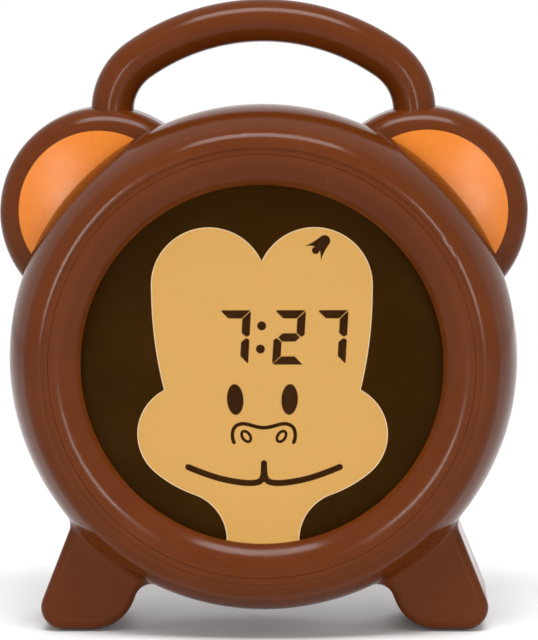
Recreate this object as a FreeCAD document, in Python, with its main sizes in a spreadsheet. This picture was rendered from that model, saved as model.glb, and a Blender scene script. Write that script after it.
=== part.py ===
import FreeCAD, Part
import math
import operator
import os
from types import SimpleNamespace

import Sketcher

# Driving dimensions in millimetres and degrees
DRIVING = {
    # round head
    "head_diameter": 145,
    "head_centre_height": 78.8,
    "overall_depth": 60,
    "dome_depth": 21,
    "crest_diameter": 124,
    "crest_rounding": 6,
    "crest_step": 0.3,
    "housing_skirt": 2,
    "shell_wall": 2.2,
    "drum_wall": 2.4,
    "back_edge_radius": 10,
    "back_recess_diameter": 116,
    "back_recess_depth": 2,
    "fit_gap": 0.1,
    "moving_gap": 0.3,
    "shaft_gap": 0.05,
    # display
    "bezel_diameter": 120.2,
    "bezel_shoulder": 4,
    "bezel_roll_depth": 4.7,
    "bezel_lip": 1.2,
    "bezel_skirt_wall": 1.2,
    "ledge_thickness": 1.8,
    "window_diameter": 102.2,
    "lens_diameter": 108,
    "lens_thickness": 1.8,
    "mask_thickness": 0.4,
    "layer_gap": 0.05,
    "glass_diameter": 105,
    "glass_thickness": 0.7,
    "segment_thickness": 0.1,
    "digit_height": 15.5,
    "digit_width": 8.75,
    "digit_stroke": 2.35,
    "digit_tip": 0.35,
    "digit_gap": 0.14,
    "digit_lean": 3.4,
    "clock_row_rise": 7.5,
    "minutes_offset": 7.6,
    "eye_spacing": 15.4,
    "eye_drop": 10.2,
    "eye_height": 8.8,
    "eye_width": 4.7,
    "eye_tilt": 3,
    "nostril_spacing": 10,
    "nostril_drop": 20.8,
    "snout_width": 17.8,
    "snout_line": 1.05,
    "mouth_width": 43,
    "mouth_drop": 34.1,
    "mouth_line": 1.75,
    "diffuser_thickness": 3.2,
    "led_space": 1.5,
    "circuit_board_thickness": 1.6,
    "carrier_wall": 1.2,
    "carrier_lip": 3.6,
    "carrier_lip_thickness": 1.6,
    "display_screw_circle": 116.2,
    # ears
    "ear_diameter": 60.6,
    "ear_offset": 45.5,
    "ear_rise": 40.7,
    "ear_depth": 24,
    "ear_dome_radius": 120,
    "ear_edge_radius": 6.5,
    "ear_back_radius": 8,
    "insert_diameter": 46.2,
    "insert_shift_out": 1.3,
    "insert_shift_up": 1,
    "insert_thickness": 3.8,
    "insert_floor_wall": 1.8,
    # carry handle
    "handle_half_span": 43.3,
    "handle_rise": 25.9,
    "handle_base_height": 69.6,
    "handle_side_radius": 18,
    "handle_thickness": 12.2,
    "handle_wall": 2,
    "handle_leg": 12,
    "handle_plug": 7,
    # feet
    "foot_lean": 21.5,
    "foot_width": 24.6,
    "foot_toe_reach": 67.5,
    "foot_toe_radius": 6.3,
    "foot_heel_radius": 12.9,
    "foot_front_depth": 7,
    "foot_depth": 28,
    "foot_edge_radius": 2.5,
    "foot_blend_radius": 5,
    "foot_root_drop": 32.8,
    "foot_screw_angle": 51,
    "foot_screw_spacing": 16,
    "pad_width": 5.4,
    "pad_length": 30,
    "pad_thickness": 1.4,
    "pad_proud": 0.4,
    # screws
    "post_circle": 124,
    "post_diameter": 8.4,
    "boss_diameter": 6.4,
    "small_boss_diameter": 5,
    "screw_diameter": 3,
    "screw_head_diameter": 5.2,
    "screw_head_height": 2,
    "small_screw_diameter": 2,
    "small_screw_head_diameter": 3.8,
    "small_screw_head_height": 1.4,
    # back controls
    "button_diameter": 9,
    "button_flange": 1.5,
    "button_flange_thickness": 1.2,
    "button_proud": 1.2,
    "button_travel": 0.8,
    "button_pitch": 14,
    "button_column": 10,
    "button_row": 14,
    "plunger_height": 1.5,
    "plunger_diameter": 3.2,
    "tact_width": 6,
    "tact_height": 3.5,
    "board_gap": 7.6,
    "board_radius": 56,
    "switch_column": 20,
    "switch_row": 43,
    "switch_travel": 4,
    "switch_knob_length": 5,
    "switch_knob_width": 3.4,
    # speaker
    "speaker_diameter": 36,
    "speaker_column": 26,
    "speaker_row": 26,
    "speaker_depth": 10,
    "speaker_flange_thickness": 1.4,
    "grille_pitch": 4,
    "grille_hole_diameter": 2,
    "clamp_thickness": 1.4,
    "clamp_screw_circle": 43,
    # battery bay
    "cell_diameter": 14.2,
    "cell_length": 50,
    "cell_pitch": 15,
    "bay_length": 55,
    "bay_depth": 15.2,
    "bay_wall": 1.6,
    "bay_middle_drop": 23.6,
    "door_thickness": 2.2,
    "hinge_pin_diameter": 1.2,
    "hinge_pin_length": 1.6,
    "spring_diameter": 7,
    "spring_wire": 0.7,
    "contact_thickness": 0.5,
    # power socket
    "socket_column": 44,
    "socket_drop": 13,
    "socket_width": 9,
    "socket_height": 11,
    "socket_bore": 5.6,
    "socket_pin": 2.1,
}

doc = FreeCAD.newDocument("alarm_clock")
sheet = doc.addObject("Spreadsheet::Sheet", "Dims")

SIGNS = {"+": operator.add, "-": operator.sub, "*": operator.mul, "/": operator.truediv}


class Size:
    """A length or angle that knows its number and its formula over the sheet's cells."""

    def __init__(self, number, formula):
        self.number = float(number)
        self.formula = formula

    def __add__(self, other):
        return joined(self, "+", other)

    def __radd__(self, other):
        return joined(other, "+", self)

    def __sub__(self, other):
        return joined(self, "-", other)

    def __rsub__(self, other):
        return joined(other, "-", self)

    def __mul__(self, other):
        return joined(self, "*", other)

    def __rmul__(self, other):
        return joined(other, "*", self)

    def __truediv__(self, other):
        return joined(self, "/", other)

    def __neg__(self):
        return joined(-1, "*", self)


def as_size(value):
    if isinstance(value, Size):
        return value
    return Size(value, "(%.10g)" % value)


def joined(left, sign, right):
    left = as_size(left)
    right = as_size(right)
    number = SIGNS[sign](left.number, right.number)
    return Size(number, "(%s %s %s)" % (left.formula, sign, right.formula))


def sine(angle):
    return Size(math.sin(math.radians(angle.number)), "sin(%s)" % angle.formula)


def cosine(angle):
    return Size(math.cos(math.radians(angle.number)), "cos(%s)" % angle.formula)


def tangent(angle):
    return Size(math.tan(math.radians(angle.number)), "tan(%s)" % angle.formula)


def root(value):
    return Size(math.sqrt(value.number), "sqrt(%s)" % value.formula)


def write_sheet():
    """One row for each driving dimension: its name, its number and its alias."""
    for row, (name, number) in enumerate(DRIVING.items(), start=1):
        sheet.set("A%d" % row, name)
        sheet.set("B%d" % row, str(number))
        sheet.setAlias("B%d" % row, name)
    doc.recompute()
    return SimpleNamespace(**{name: Size(number, "Dims." + name) for name, number in DRIVING.items()})


d = write_sheet()

# Radii and heights that follow from the driving dimensions
HEAD_RADIUS = d.head_diameter / 2
CREST_RADIUS = d.crest_diameter / 2
BEZEL_RADIUS = d.bezel_diameter / 2
WINDOW_RADIUS = d.window_diameter / 2
LENS_RADIUS = d.lens_diameter / 2
GLASS_RADIUS = d.glass_diameter / 2
DRUM_RADIUS = HEAD_RADIUS - d.shell_wall - d.moving_gap
DRUM_INNER_RADIUS = DRUM_RADIUS - d.drum_wall
POST_RADIUS = d.post_circle / 2
EAR_RADIUS = d.ear_diameter / 2
HANDLE_RADIUS = d.handle_thickness / 2

# Depths, from the front of the head to its back
FRONT = -(d.overall_depth / 2)
BACK = d.overall_depth / 2
DOME_PLANE = FRONT + d.dome_depth
SKIRT_BACK = DOME_PLANE + d.housing_skirt
BEZEL_FRONT = FRONT + d.crest_step
LEDGE_FRONT = BEZEL_FRONT + d.bezel_shoulder
LEDGE_BACK = LEDGE_FRONT + d.ledge_thickness
LENS_FRONT = BEZEL_FRONT + d.bezel_roll_depth + d.bezel_lip
MASK_FRONT = LENS_FRONT + d.lens_thickness
FRONT_GLASS = MASK_FRONT + d.mask_thickness + 2 * d.layer_gap
SEGMENTS = FRONT_GLASS + d.glass_thickness
REAR_GLASS = SEGMENTS + d.segment_thickness + 2 * d.layer_gap
DIFFUSER = REAR_GLASS + d.glass_thickness
LED_SPACE = DIFFUSER + d.diffuser_thickness
LIGHT_BOARD = LED_SPACE + d.led_space
CARRIER_LIP = LIGHT_BOARD + d.circuit_board_thickness
CARRIER_BACK = CARRIER_LIP + d.carrier_lip_thickness
PANEL = BACK - d.back_recess_depth
PANEL_INSIDE = PANEL - d.drum_wall
BOARD_BACK = PANEL_INSIDE - d.board_gap
BOARD_FRONT = BOARD_BACK - d.circuit_board_thickness
POST_FRONT = CARRIER_BACK + 2
HEAD_SEAT = POST_FRONT + 4
EAR_FRONT = SKIRT_BACK + d.moving_gap
EAR_BACK = EAR_FRONT + d.ear_depth
EAR_SPLIT = EAR_FRONT + d.ear_depth / 2
FOOT_FRONT = SKIRT_BACK - d.foot_front_depth
FOOT_BACK = SKIRT_BACK + d.foot_depth
FOOT_ROOT = d.head_centre_height - d.foot_root_drop


def bind(thing, path, value):
    thing.setExpression(path, as_size(value).formula)


def number(value):
    return as_size(value).number


def up(rise):
    """A height above the floor, from a rise above the head's centre."""
    return d.head_centre_height + rise


class Arc:
    """Stands between two corners of an outline: turn is 1 where its centre lies to the left."""

    def __init__(self, radius, turn):
        self.radius = radius
        self.turn = turn


class Circle:
    """A round outline of its own."""

    def __init__(self, u, v, radius):
        self.u = u
        self.v = v
        self.radius = radius


def arc_between(start, end, arc):
    """The short arc through two corners, always anticlockwise, and whether it was turned round."""
    u0, v0 = number(start[0]), number(start[1])
    u1, v1 = number(end[0]), number(end[1])
    radius = number(arc.radius)
    chord = math.hypot(u1 - u0, v1 - v0)
    reach = math.sqrt(max(radius ** 2 - chord ** 2 / 4, 0)) * arc.turn
    cu = (u0 + u1) / 2 - (v1 - v0) / chord * reach
    cv = (v0 + v1) / 2 + (u1 - u0) / chord * reach
    first = math.atan2(v0 - cv, u0 - cu)
    last = math.atan2(v1 - cv, u1 - cu)
    turned = arc.turn < 0
    if turned:
        first, last = last, first
    if last < first:
        last += 2 * math.pi
    circle = Part.Circle(FreeCAD.Vector(cu, cv, 0), FreeCAD.Vector(0, 0, 1), radius)
    return Part.ArcOfCircle(circle, first, last), turned


def place_point(sketch, geometry, end, corner):
    """Tie one end of a line or arc to its corner's two sizes."""
    for kind, axis, value in (("DistanceX", -2, corner[0]), ("DistanceY", -1, corner[1])):
        if not isinstance(value, Size) and value == 0:
            sketch.addConstraint(Sketcher.Constraint("PointOnObject", geometry, end, axis))
            continue
        row = sketch.addConstraint(Sketcher.Constraint(kind, -1, 1, geometry, end, number(value)))
        bind(sketch, "Constraints[%d]" % row, value)


def draw_outline(sketch, outline, closed=True):
    """Lines and arcs through the corners of an outline, each corner held by its sizes."""
    if isinstance(outline, Circle):
        centre = FreeCAD.Vector(number(outline.u), number(outline.v), 0)
        ring = Part.Circle(centre, FreeCAD.Vector(0, 0, 1), number(outline.radius))
        geometry = sketch.addGeometry(ring, False)
        place_point(sketch, geometry, 3, (outline.u, outline.v))
        row = sketch.addConstraint(Sketcher.Constraint("Radius", geometry, number(outline.radius)))
        bind(sketch, "Constraints[%d]" % row, outline.radius)
        return
    corners = [item for item in outline if not isinstance(item, Arc)]
    arcs = {}
    count = 0
    for item in outline:
        if isinstance(item, Arc):
            arcs[count - 1] = item
        else:
            count += 1
    spans = count if closed else count - 1
    ends = []
    for index in range(spans):
        start = corners[index]
        end = corners[(index + 1) % count]
        if index in arcs:
            curve, turned = arc_between(start, end, arcs[index])
            geometry = sketch.addGeometry(curve, False)
            row = sketch.addConstraint(Sketcher.Constraint("Radius", geometry, number(arcs[index].radius)))
            bind(sketch, "Constraints[%d]" % row, arcs[index].radius)
            ends.append((geometry, 2, 1) if turned else (geometry, 1, 2))
        else:
            points = [FreeCAD.Vector(number(u), number(v), 0) for u, v in (start, end)]
            geometry = sketch.addGeometry(Part.LineSegment(*points), False)
            ends.append((geometry, 1, 2))
    for index in range(spans):
        geometry, start_end, far_end = ends[index]
        place_point(sketch, geometry, start_end, corners[index])
        if index + 1 < spans or closed:
            following = ends[(index + 1) % spans]
            sketch.addConstraint(
                Sketcher.Constraint("Coincident", geometry, far_end, following[0], following[1]))
        else:
            place_point(sketch, geometry, far_end, corners[index + 1])


def drawn(body, name, plane, outlines, offset=0, closed=True):
    """A sketch on one of the body's own planes, moved along that plane's normal by an offset."""
    sketch = body.newObject("Sketcher::SketchObject", name)
    origin_plane = [item for item in body.Origin.OriginFeatures if item.Role == plane][0]
    sketch.AttachmentSupport = [(origin_plane, "")]
    sketch.MapMode = "FlatFace"
    bind(sketch, "AttachmentOffset.Base.z", offset)
    for outline in outlines:
        draw_outline(sketch, outline, closed)
    return sketch


def new_body(name, x=0, z=0):
    body = doc.addObject("PartDesign::Body", name)
    bind(body, "Placement.Base.x", x)
    bind(body, "Placement.Base.z", z)
    return body


def turned(name, profile, x=0, rise=0):
    """A round piece: a profile of (depth, radius) corners turned about its own fore and aft axis."""
    body = new_body(name, x, up(rise))
    sketch = drawn(body, name + "_profile", "YZ_Plane", [profile])
    turn = body.newObject("PartDesign::Revolution", name + "_turn")
    turn.Profile = sketch
    turn.ReferenceAxis = (sketch, ["H_Axis"])
    turn.Angle = 360
    return body


def slab(name, outlines, front, back, base=None):
    """A flat piece: an outline in the front view, from one depth to another."""
    body = new_body(name, 0, d.head_centre_height if base is None else base)
    sketch = drawn(body, name + "_outline", "XZ_Plane", outlines, -back)
    pad = body.newObject("PartDesign::Pad", name + "_pad")
    pad.Profile = sketch
    bind(pad, "Length", back - front)
    return body


def rod(name, radius, front, back, x=0, rise=0):
    """A cylinder that runs fore and aft, at a place beside and above the head's centre."""
    part = doc.addObject("Part::Cylinder", name)
    part.Placement = FreeCAD.Placement(FreeCAD.Vector(), FreeCAD.Rotation(FreeCAD.Vector(1, 0, 0), -90))
    bind(part, "Radius", radius)
    bind(part, "Height", back - front)
    bind(part, "Placement.Base.x", x)
    bind(part, "Placement.Base.y", front)
    bind(part, "Placement.Base.z", up(rise))
    return part


def spoke(name, radius, inner, outer, angle, depth):
    """A cylinder that points away from the head's axis at an angle above the +X side."""
    part = doc.addObject("Part::Cylinder", name)
    part.Placement = FreeCAD.Placement(FreeCAD.Vector(), FreeCAD.Rotation(FreeCAD.Vector(0, 1, 0), 90))
    bind(part, "Radius", radius)
    bind(part, "Height", outer - inner)
    bind(part, "Placement.Base.x", cosine(angle) * inner)
    bind(part, "Placement.Base.y", depth)
    bind(part, "Placement.Base.z", up(sine(angle) * inner))
    bind(part, "Placement.Rotation.Angle", 90 - angle)
    return part


def block(name, x, y, rise):
    """A box between two places on each axis."""
    part = doc.addObject("Part::Box", name)
    bind(part, "Length", x[1] - x[0])
    bind(part, "Width", y[1] - y[0])
    bind(part, "Height", rise[1] - rise[0])
    bind(part, "Placement.Base.x", x[0])
    bind(part, "Placement.Base.y", y[0])
    bind(part, "Placement.Base.z", up(rise[0]))
    return part


def fuse(name, parts):
    if len(parts) == 1:
        return parts[0]
    part = doc.addObject("Part::MultiFuse", name)
    part.Shapes = parts
    return part


def cut(name, base, tools):
    part = doc.addObject("Part::Cut", name)
    part.Base = base
    part.Tool = fuse(name + "_tools", tools)
    return part


def common(name, first, second):
    part = doc.addObject("Part::MultiCommon", name)
    part.Shapes = [first, second]
    return part


NODES = []


def node(part, label):
    """Give a finished piece its own name."""
    part.Label = label
    NODES.append(part)
    return part


def round_at_depth(body, feature, depth, radius, name, keep_below=None):
    """Round the edges of a slab that lie at one depth, apart from any above a given height."""
    doc.recompute()
    edges = []
    for index, edge in enumerate(feature.Shape.Edges, start=1):
        heights = [vertex.Point.z for vertex in edge.Vertexes]
        depths = [vertex.Point.y for vertex in edge.Vertexes]
        if any(abs(value - number(depth)) > 1e-6 for value in depths):
            continue
        if keep_below is not None and min(heights) > number(keep_below) - 1e-6:
            continue
        edges.append("Edge%d" % index)
    fillet = body.newObject("PartDesign::Fillet", name)
    fillet.Base = (feature, edges)
    bind(fillet, "Radius", radius)
    return fillet


def bottom_tangent(radius, corner_angle):
    """How far an arc's ends lie from the corner that it rounds."""
    return radius / tangent(corner_angle / 2)


def foot_outline(side, inset, top):
    """One leg in the front view, measured from the floor, with its walls moved in by an inset."""
    lean = d.foot_lean
    slant = inset / cosine(lean)
    floor = d.pad_proud + inset
    toe = d.foot_toe_reach - floor * tangent(lean) - slant
    heel = d.foot_toe_reach - d.foot_width / cosine(lean) - floor * tangent(lean) + slant
    toe_radius = d.foot_toe_radius - inset
    heel_radius = d.foot_heel_radius - inset
    toe_run = bottom_tangent(toe_radius, 90 - lean)
    heel_run = bottom_tangent(heel_radius, 90 + lean)
    rise = top - floor
    corners = [
        (heel + heel_run, floor),
        (toe - toe_run, floor),
        Arc(toe_radius, 1),
        (toe - toe_run * sine(lean), floor + toe_run * cosine(lean)),
        (toe - rise * tangent(lean), top),
        (heel - rise * tangent(lean), top),
        (heel - heel_run * sine(lean), floor + heel_run * cosine(lean)),
        Arc(heel_radius, 1),
    ]
    if side > 0:
        return corners
    mirrored = []
    for item in corners:
        if isinstance(item, Arc):
            mirrored.append(Arc(item.radius, -item.turn))
        else:
            mirrored.append((-item[0], item[1]))
    return mirrored


def dome_joint(wall):
    """Where the dome's tight front arc meets its broad side arc, a wall's thickness inside the skin."""
    reach = HEAD_RADIUS - CREST_RADIUS
    run = d.dome_depth - d.crest_rounding
    broad = (run * run + reach * reach - d.crest_rounding * d.crest_rounding) / (
        2 * (reach - d.crest_rounding))
    share = (broad - wall) / (broad - d.crest_rounding)
    depth = DOME_PLANE - run * share
    radius = HEAD_RADIUS - broad + (broad - reach) * share
    return depth, radius, broad - wall, d.crest_rounding - wall


def screw_angles():
    return [Size(angle, "(%d)" % angle) for angle in (0, 90, 180, 270)]


def display_screw_places():
    share = d.display_screw_circle / 2 * math.sqrt(0.5)
    return [(share * across, share * above) for across in (-1, 1) for above in (-1, 1)]


def front_housing():
    depth, radius, broad, tight = dome_joint(0)
    in_depth, in_radius, in_broad, in_tight = dome_joint(d.shell_wall)
    shell = turned("front_shell", [
        (SKIRT_BACK, HEAD_RADIUS),
        (DOME_PLANE, HEAD_RADIUS),
        Arc(broad, 1),
        (depth, radius),
        Arc(tight, 1),
        (FRONT, CREST_RADIUS),
        (BEZEL_FRONT, CREST_RADIUS),
        (BEZEL_FRONT, BEZEL_RADIUS),
        (LEDGE_FRONT, BEZEL_RADIUS),
        (LEDGE_FRONT, BEZEL_RADIUS - 2.7),
        (LEDGE_BACK, BEZEL_RADIUS - 2.7),
        (LEDGE_BACK, CREST_RADIUS),
        (FRONT + d.shell_wall, CREST_RADIUS),
        Arc(in_tight, -1),
        (in_depth, in_radius),
        Arc(in_broad, -1),
        (DOME_PLANE, HEAD_RADIUS - d.shell_wall),
        (SKIRT_BACK, HEAD_RADIUS - d.shell_wall),
    ])
    parts = [shell]
    in_wall = HEAD_RADIUS - d.shell_wall * 0.6
    for side, word in ((-1, "left"), (1, "right")):
        leg = slab(word + "_leg", [foot_outline(side, 0 * d.shell_wall, FOOT_ROOT)],
                   FOOT_FRONT, SKIRT_BACK, 0)
        round_at_depth(leg, leg.Group[-1], FOOT_FRONT, d.foot_edge_radius, word + "_leg_edge",
                       FOOT_ROOT)
        inside = slab(word + "_leg_inside", [foot_outline(side, d.shell_wall, FOOT_ROOT)],
                      FOOT_FRONT + d.shell_wall, SKIRT_BACK + 1, 0)
        hollow = cut(word + "_leg_hollow", inside, [
            rod(word + "_hollow_root", HEAD_RADIUS, FRONT, BACK)])
        parts.append(cut(word + "_leg_front", leg, [
            hollow, rod(word + "_leg_root", in_wall, FRONT, BACK)]))
    skin = fuse("front_skin", parts)
    blended = blend_legs(skin, parts[1:])
    bosses = []
    holes = []
    for index, angle in enumerate(screw_angles()):
        x = cosine(angle) * POST_RADIUS
        rise = sine(angle) * POST_RADIUS
        bosses.append(rod("ring_boss_%d" % index, d.boss_diameter / 2, LEDGE_BACK - 1, POST_FRONT, x, rise))
        holes.append(rod("ring_pilot_%d" % index, d.screw_diameter / 2 + d.shaft_gap,
                         LEDGE_BACK + 1, POST_FRONT + 1, x, rise))
    for index, (x, rise) in enumerate(display_screw_places()):
        bosses.append(rod("ledge_boss_%d" % index, d.small_boss_diameter / 2,
                          LEDGE_BACK - 1, LIGHT_BOARD, x, rise))
        holes.append(rod("ledge_hole_%d" % index, d.small_screw_diameter / 2 + d.shaft_gap,
                         LEDGE_FRONT - 1, LIGHT_BOARD + 1, x, rise))
    whole = fuse("front_with_bosses", [blended] + bosses)
    return node(cut("front_drilled", whole, holes), "front_housing")


def blend_legs(skin, legs):
    """A soft hollow where each leg leaves the dome."""
    doc.recompute()
    picked = []
    broad_radius = number(dome_joint(0)[2])
    centre_depth = number(DOME_PLANE)
    centre_radius = number(HEAD_RADIUS) - broad_radius
    height = number(d.head_centre_height)
    for index, edge in enumerate(skin.Shape.Edges, start=1):
        middle = edge.valueAt((edge.FirstParameter + edge.LastParameter) / 2)
        radius = math.hypot(middle.x, middle.z - height)
        off_dome = math.hypot(middle.y - centre_depth, radius - centre_radius) - broad_radius
        on_skirt = middle.y > centre_depth and abs(radius - number(HEAD_RADIUS)) < 1e-3
        if abs(off_dome) > 1e-3 and not on_skirt:
            continue
        if middle.y > number(SKIRT_BACK) - 1e-3:
            continue
        if any(leg.Shape.isInside(middle, 1e-3, True) for leg in legs):
            picked.append(index)
    fillet = doc.addObject("Part::Fillet", "leg_blend")
    fillet.Base = skin
    radius = number(d.foot_blend_radius)
    fillet.Edges = [(index, radius, radius) for index in picked]
    return fillet


def display_bezel():
    drop = BEZEL_RADIUS - d.fit_gap - WINDOW_RADIUS
    roll = (d.bezel_roll_depth * d.bezel_roll_depth + drop * drop) / (2 * d.bezel_roll_depth)
    outer = BEZEL_RADIUS - d.fit_gap
    pocket = LENS_RADIUS + d.moving_gap
    ring = turned("bezel_ring", [
        (BEZEL_FRONT, outer),
        Arc(roll, 1),
        (BEZEL_FRONT + d.bezel_roll_depth, WINDOW_RADIUS),
        (LENS_FRONT, WINDOW_RADIUS),
        (LENS_FRONT, pocket),
        (FRONT_GLASS + 1, pocket),
        (FRONT_GLASS + 1, pocket + d.bezel_skirt_wall),
        (LEDGE_FRONT, pocket + d.bezel_skirt_wall),
        (LEDGE_FRONT, outer),
    ])
    holes = [rod("bezel_pilot_%d" % index, d.small_screw_diameter / 2 + d.shaft_gap,
                 LEDGE_FRONT - 2.5, LEDGE_FRONT + 1, x, rise)
             for index, (x, rise) in enumerate(display_screw_places())]
    return node(cut("bezel_drilled", ring, holes), "display_bezel")


def tube_profile(inner, outer, front, back):
    return [(front, inner), (back, inner), (back, outer), (front, outer)]


def disc_profile(radius, front, back):
    return [(front, 0), (back, 0), (back, radius), (front, radius)]


def display_stack():
    node(turned("lens", disc_profile(LENS_RADIUS, LENS_FRONT, MASK_FRONT)), "display_lens")
    mask = slab("mask", [Circle(0, 0, LENS_RADIUS), face_outline()],
                MASK_FRONT + d.layer_gap, FRONT_GLASS - d.layer_gap)
    node(mask, "face_mask")
    node(turned("front_glass", disc_profile(GLASS_RADIUS, FRONT_GLASS, SEGMENTS)), "lcd_front_glass")
    node(turned("rear_glass", disc_profile(GLASS_RADIUS, REAR_GLASS, DIFFUSER)), "lcd_rear_glass")
    node(turned("diffuser", [
        (DIFFUSER, 0),
        (LED_SPACE, 0),
        (LED_SPACE, GLASS_RADIUS - 2),
        (LIGHT_BOARD, GLASS_RADIUS - 2),
        (LIGHT_BOARD, GLASS_RADIUS),
        (DIFFUSER, GLASS_RADIUS),
    ]), "light_diffuser")
    node(turned("light_disc", disc_profile(GLASS_RADIUS, LIGHT_BOARD, CARRIER_LIP)), "light_board")
    leds = [block("led_%d" % index, (x - 1.75, x + 1.75), (LIGHT_BOARD - 1.3, LIGHT_BOARD), (z - 1.4, z + 1.4))
            for index, (x, z) in enumerate(led_places())]
    node(fuse("leds", leds), "light_leds")
    inner = GLASS_RADIUS + d.moving_gap
    outer = inner + d.carrier_wall
    flange = outer + 2
    cup = turned("carrier_cup", [
        (FRONT_GLASS, inner),
        (CARRIER_LIP, inner),
        (CARRIER_LIP, inner - d.carrier_lip),
        (CARRIER_BACK, inner - d.carrier_lip),
        (CARRIER_BACK, flange),
        (LIGHT_BOARD, flange),
        (LIGHT_BOARD, outer),
        (FRONT_GLASS, outer),
    ])
    places = display_screw_places()
    lugs = [rod("carrier_lug_%d" % index, d.small_boss_diameter / 2 + 0.6, LIGHT_BOARD, CARRIER_BACK, x, rise)
            for index, (x, rise) in enumerate(places)]
    lugs_clear = cut("carrier_lugs", fuse("carrier_lug_group", lugs), [
        rod("carrier_lug_core", GLASS_RADIUS + d.moving_gap + 0.5, FRONT, BACK)])
    holes = [rod("carrier_hole_%d" % index, d.small_screw_diameter / 2 + d.shaft_gap,
                 LIGHT_BOARD - 1, CARRIER_BACK + 1, x, rise)
             for index, (x, rise) in enumerate(places)]
    node(cut("carrier_drilled", fuse("carrier_body", [cup, lugs_clear]), holes), "display_carrier")
    screws = [screw_along("display_screw_%d" % index, x, rise, CARRIER_BACK, LEDGE_FRONT - 2, True)
              for index, (x, rise) in enumerate(places)]
    node(fuse("display_screws", screws), "display_screws")


def leaning(x, rise):
    """A place in a leaning digit, from a place in an upright one."""
    return (x + rise * tangent(d.digit_lean), rise + d.clock_row_rise)


def digit_bar(name, centre, outline, flip_x, flip_z):
    """One mitred bar of a digit, drawn for the upper right and turned over for the other sides."""
    corners = [leaning(centre + flip_x * x, flip_z * z) for x, z in outline]
    return slab(name, [corners], SEGMENTS + d.layer_gap, REAR_GLASS - d.layer_gap)


def digit(name, centre, bars):
    """A digit of mitred bars that meet at its corners with a thin gap between them."""
    wide = d.digit_width / 2
    tall = d.digit_height / 2
    thick = d.digit_stroke
    gap = d.digit_gap
    tip = d.digit_tip
    across = [(gap - wide + tip * 0.6, tall - tip), (gap - wide + tip, tall), (wide - gap, tall),
              (wide - thick - gap, tall - thick),
              (thick + gap - wide, tall - thick)]
    upright = [(wide, tall - gap - tip), (wide - tip, tall - gap - tip), (wide - thick, tall - thick - gap),
               (wide - thick, thick / 2 + gap),
               (wide - thick * 0.4, gap), (wide, thick * 0.25 + gap)]
    middle = [(wide - thick * 0.5 - gap, 0 * gap), (wide - thick - gap, thick / 2),
              (thick + gap - wide, thick / 2), (thick * 0.5 + gap - wide, 0 * gap),
              (thick + gap - wide, -thick / 2), (wide - thick - gap, -thick / 2)]
    shapes = {
        "top": (across, 1, 1),
        "upper_right": (upright, 1, 1),
        "middle": (middle, 1, 1),
        "lower_left": (upright, -1, -1),
        "lower_right": (upright, 1, -1),
        "bottom": (across, 1, -1),
    }
    return [digit_bar(name + "_" + bar, centre, *shapes[bar]) for bar in bars]


def ring_line(x, rise, long_radius, short_radius, tilt):
    """An ellipse in the front view, its long axis tilted from upright."""
    curve = Part.Ellipse(FreeCAD.Vector(0, 0, 0), long_radius, short_radius).toShape()
    shape = Part.Wire([curve])
    shape.rotate(FreeCAD.Vector(), FreeCAD.Vector(0, 0, 1), 90 + tilt)
    shape.translate(FreeCAD.Vector(x, rise, 0))
    return shape


def stroke(points, width):
    """A smooth line of even width with round ends through a few places."""
    curve = Part.BSplineCurve()
    curve.interpolate([FreeCAD.Vector(x, rise, 0) for x, rise in points])
    sides = ([], [])
    steps = 8 * (len(points) - 1)
    for step in range(steps + 1):
        place = curve.FirstParameter + (curve.LastParameter - curve.FirstParameter) * step / steps
        along = curve.tangent(place)[0]
        across = FreeCAD.Vector(-along.y, along.x, 0) * (width / 2)
        sides[0].append(curve.value(place) + across)
        sides[1].append(curve.value(place) - across)
    edges = []
    for side in sides:
        flank = Part.BSplineCurve()
        flank.interpolate(side)
        edges.append(flank.toShape())
    for end, way in ((0, -1), (-1, 1)):
        place = curve.FirstParameter if end == 0 else curve.LastParameter
        tip = curve.value(place) + curve.tangent(place)[0] * (way * width / 2)
        edges.append(Part.Arc(sides[0][end], tip, sides[1][end]).toShape())
    return Part.Wire(Part.__sortEdges__(edges))


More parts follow.
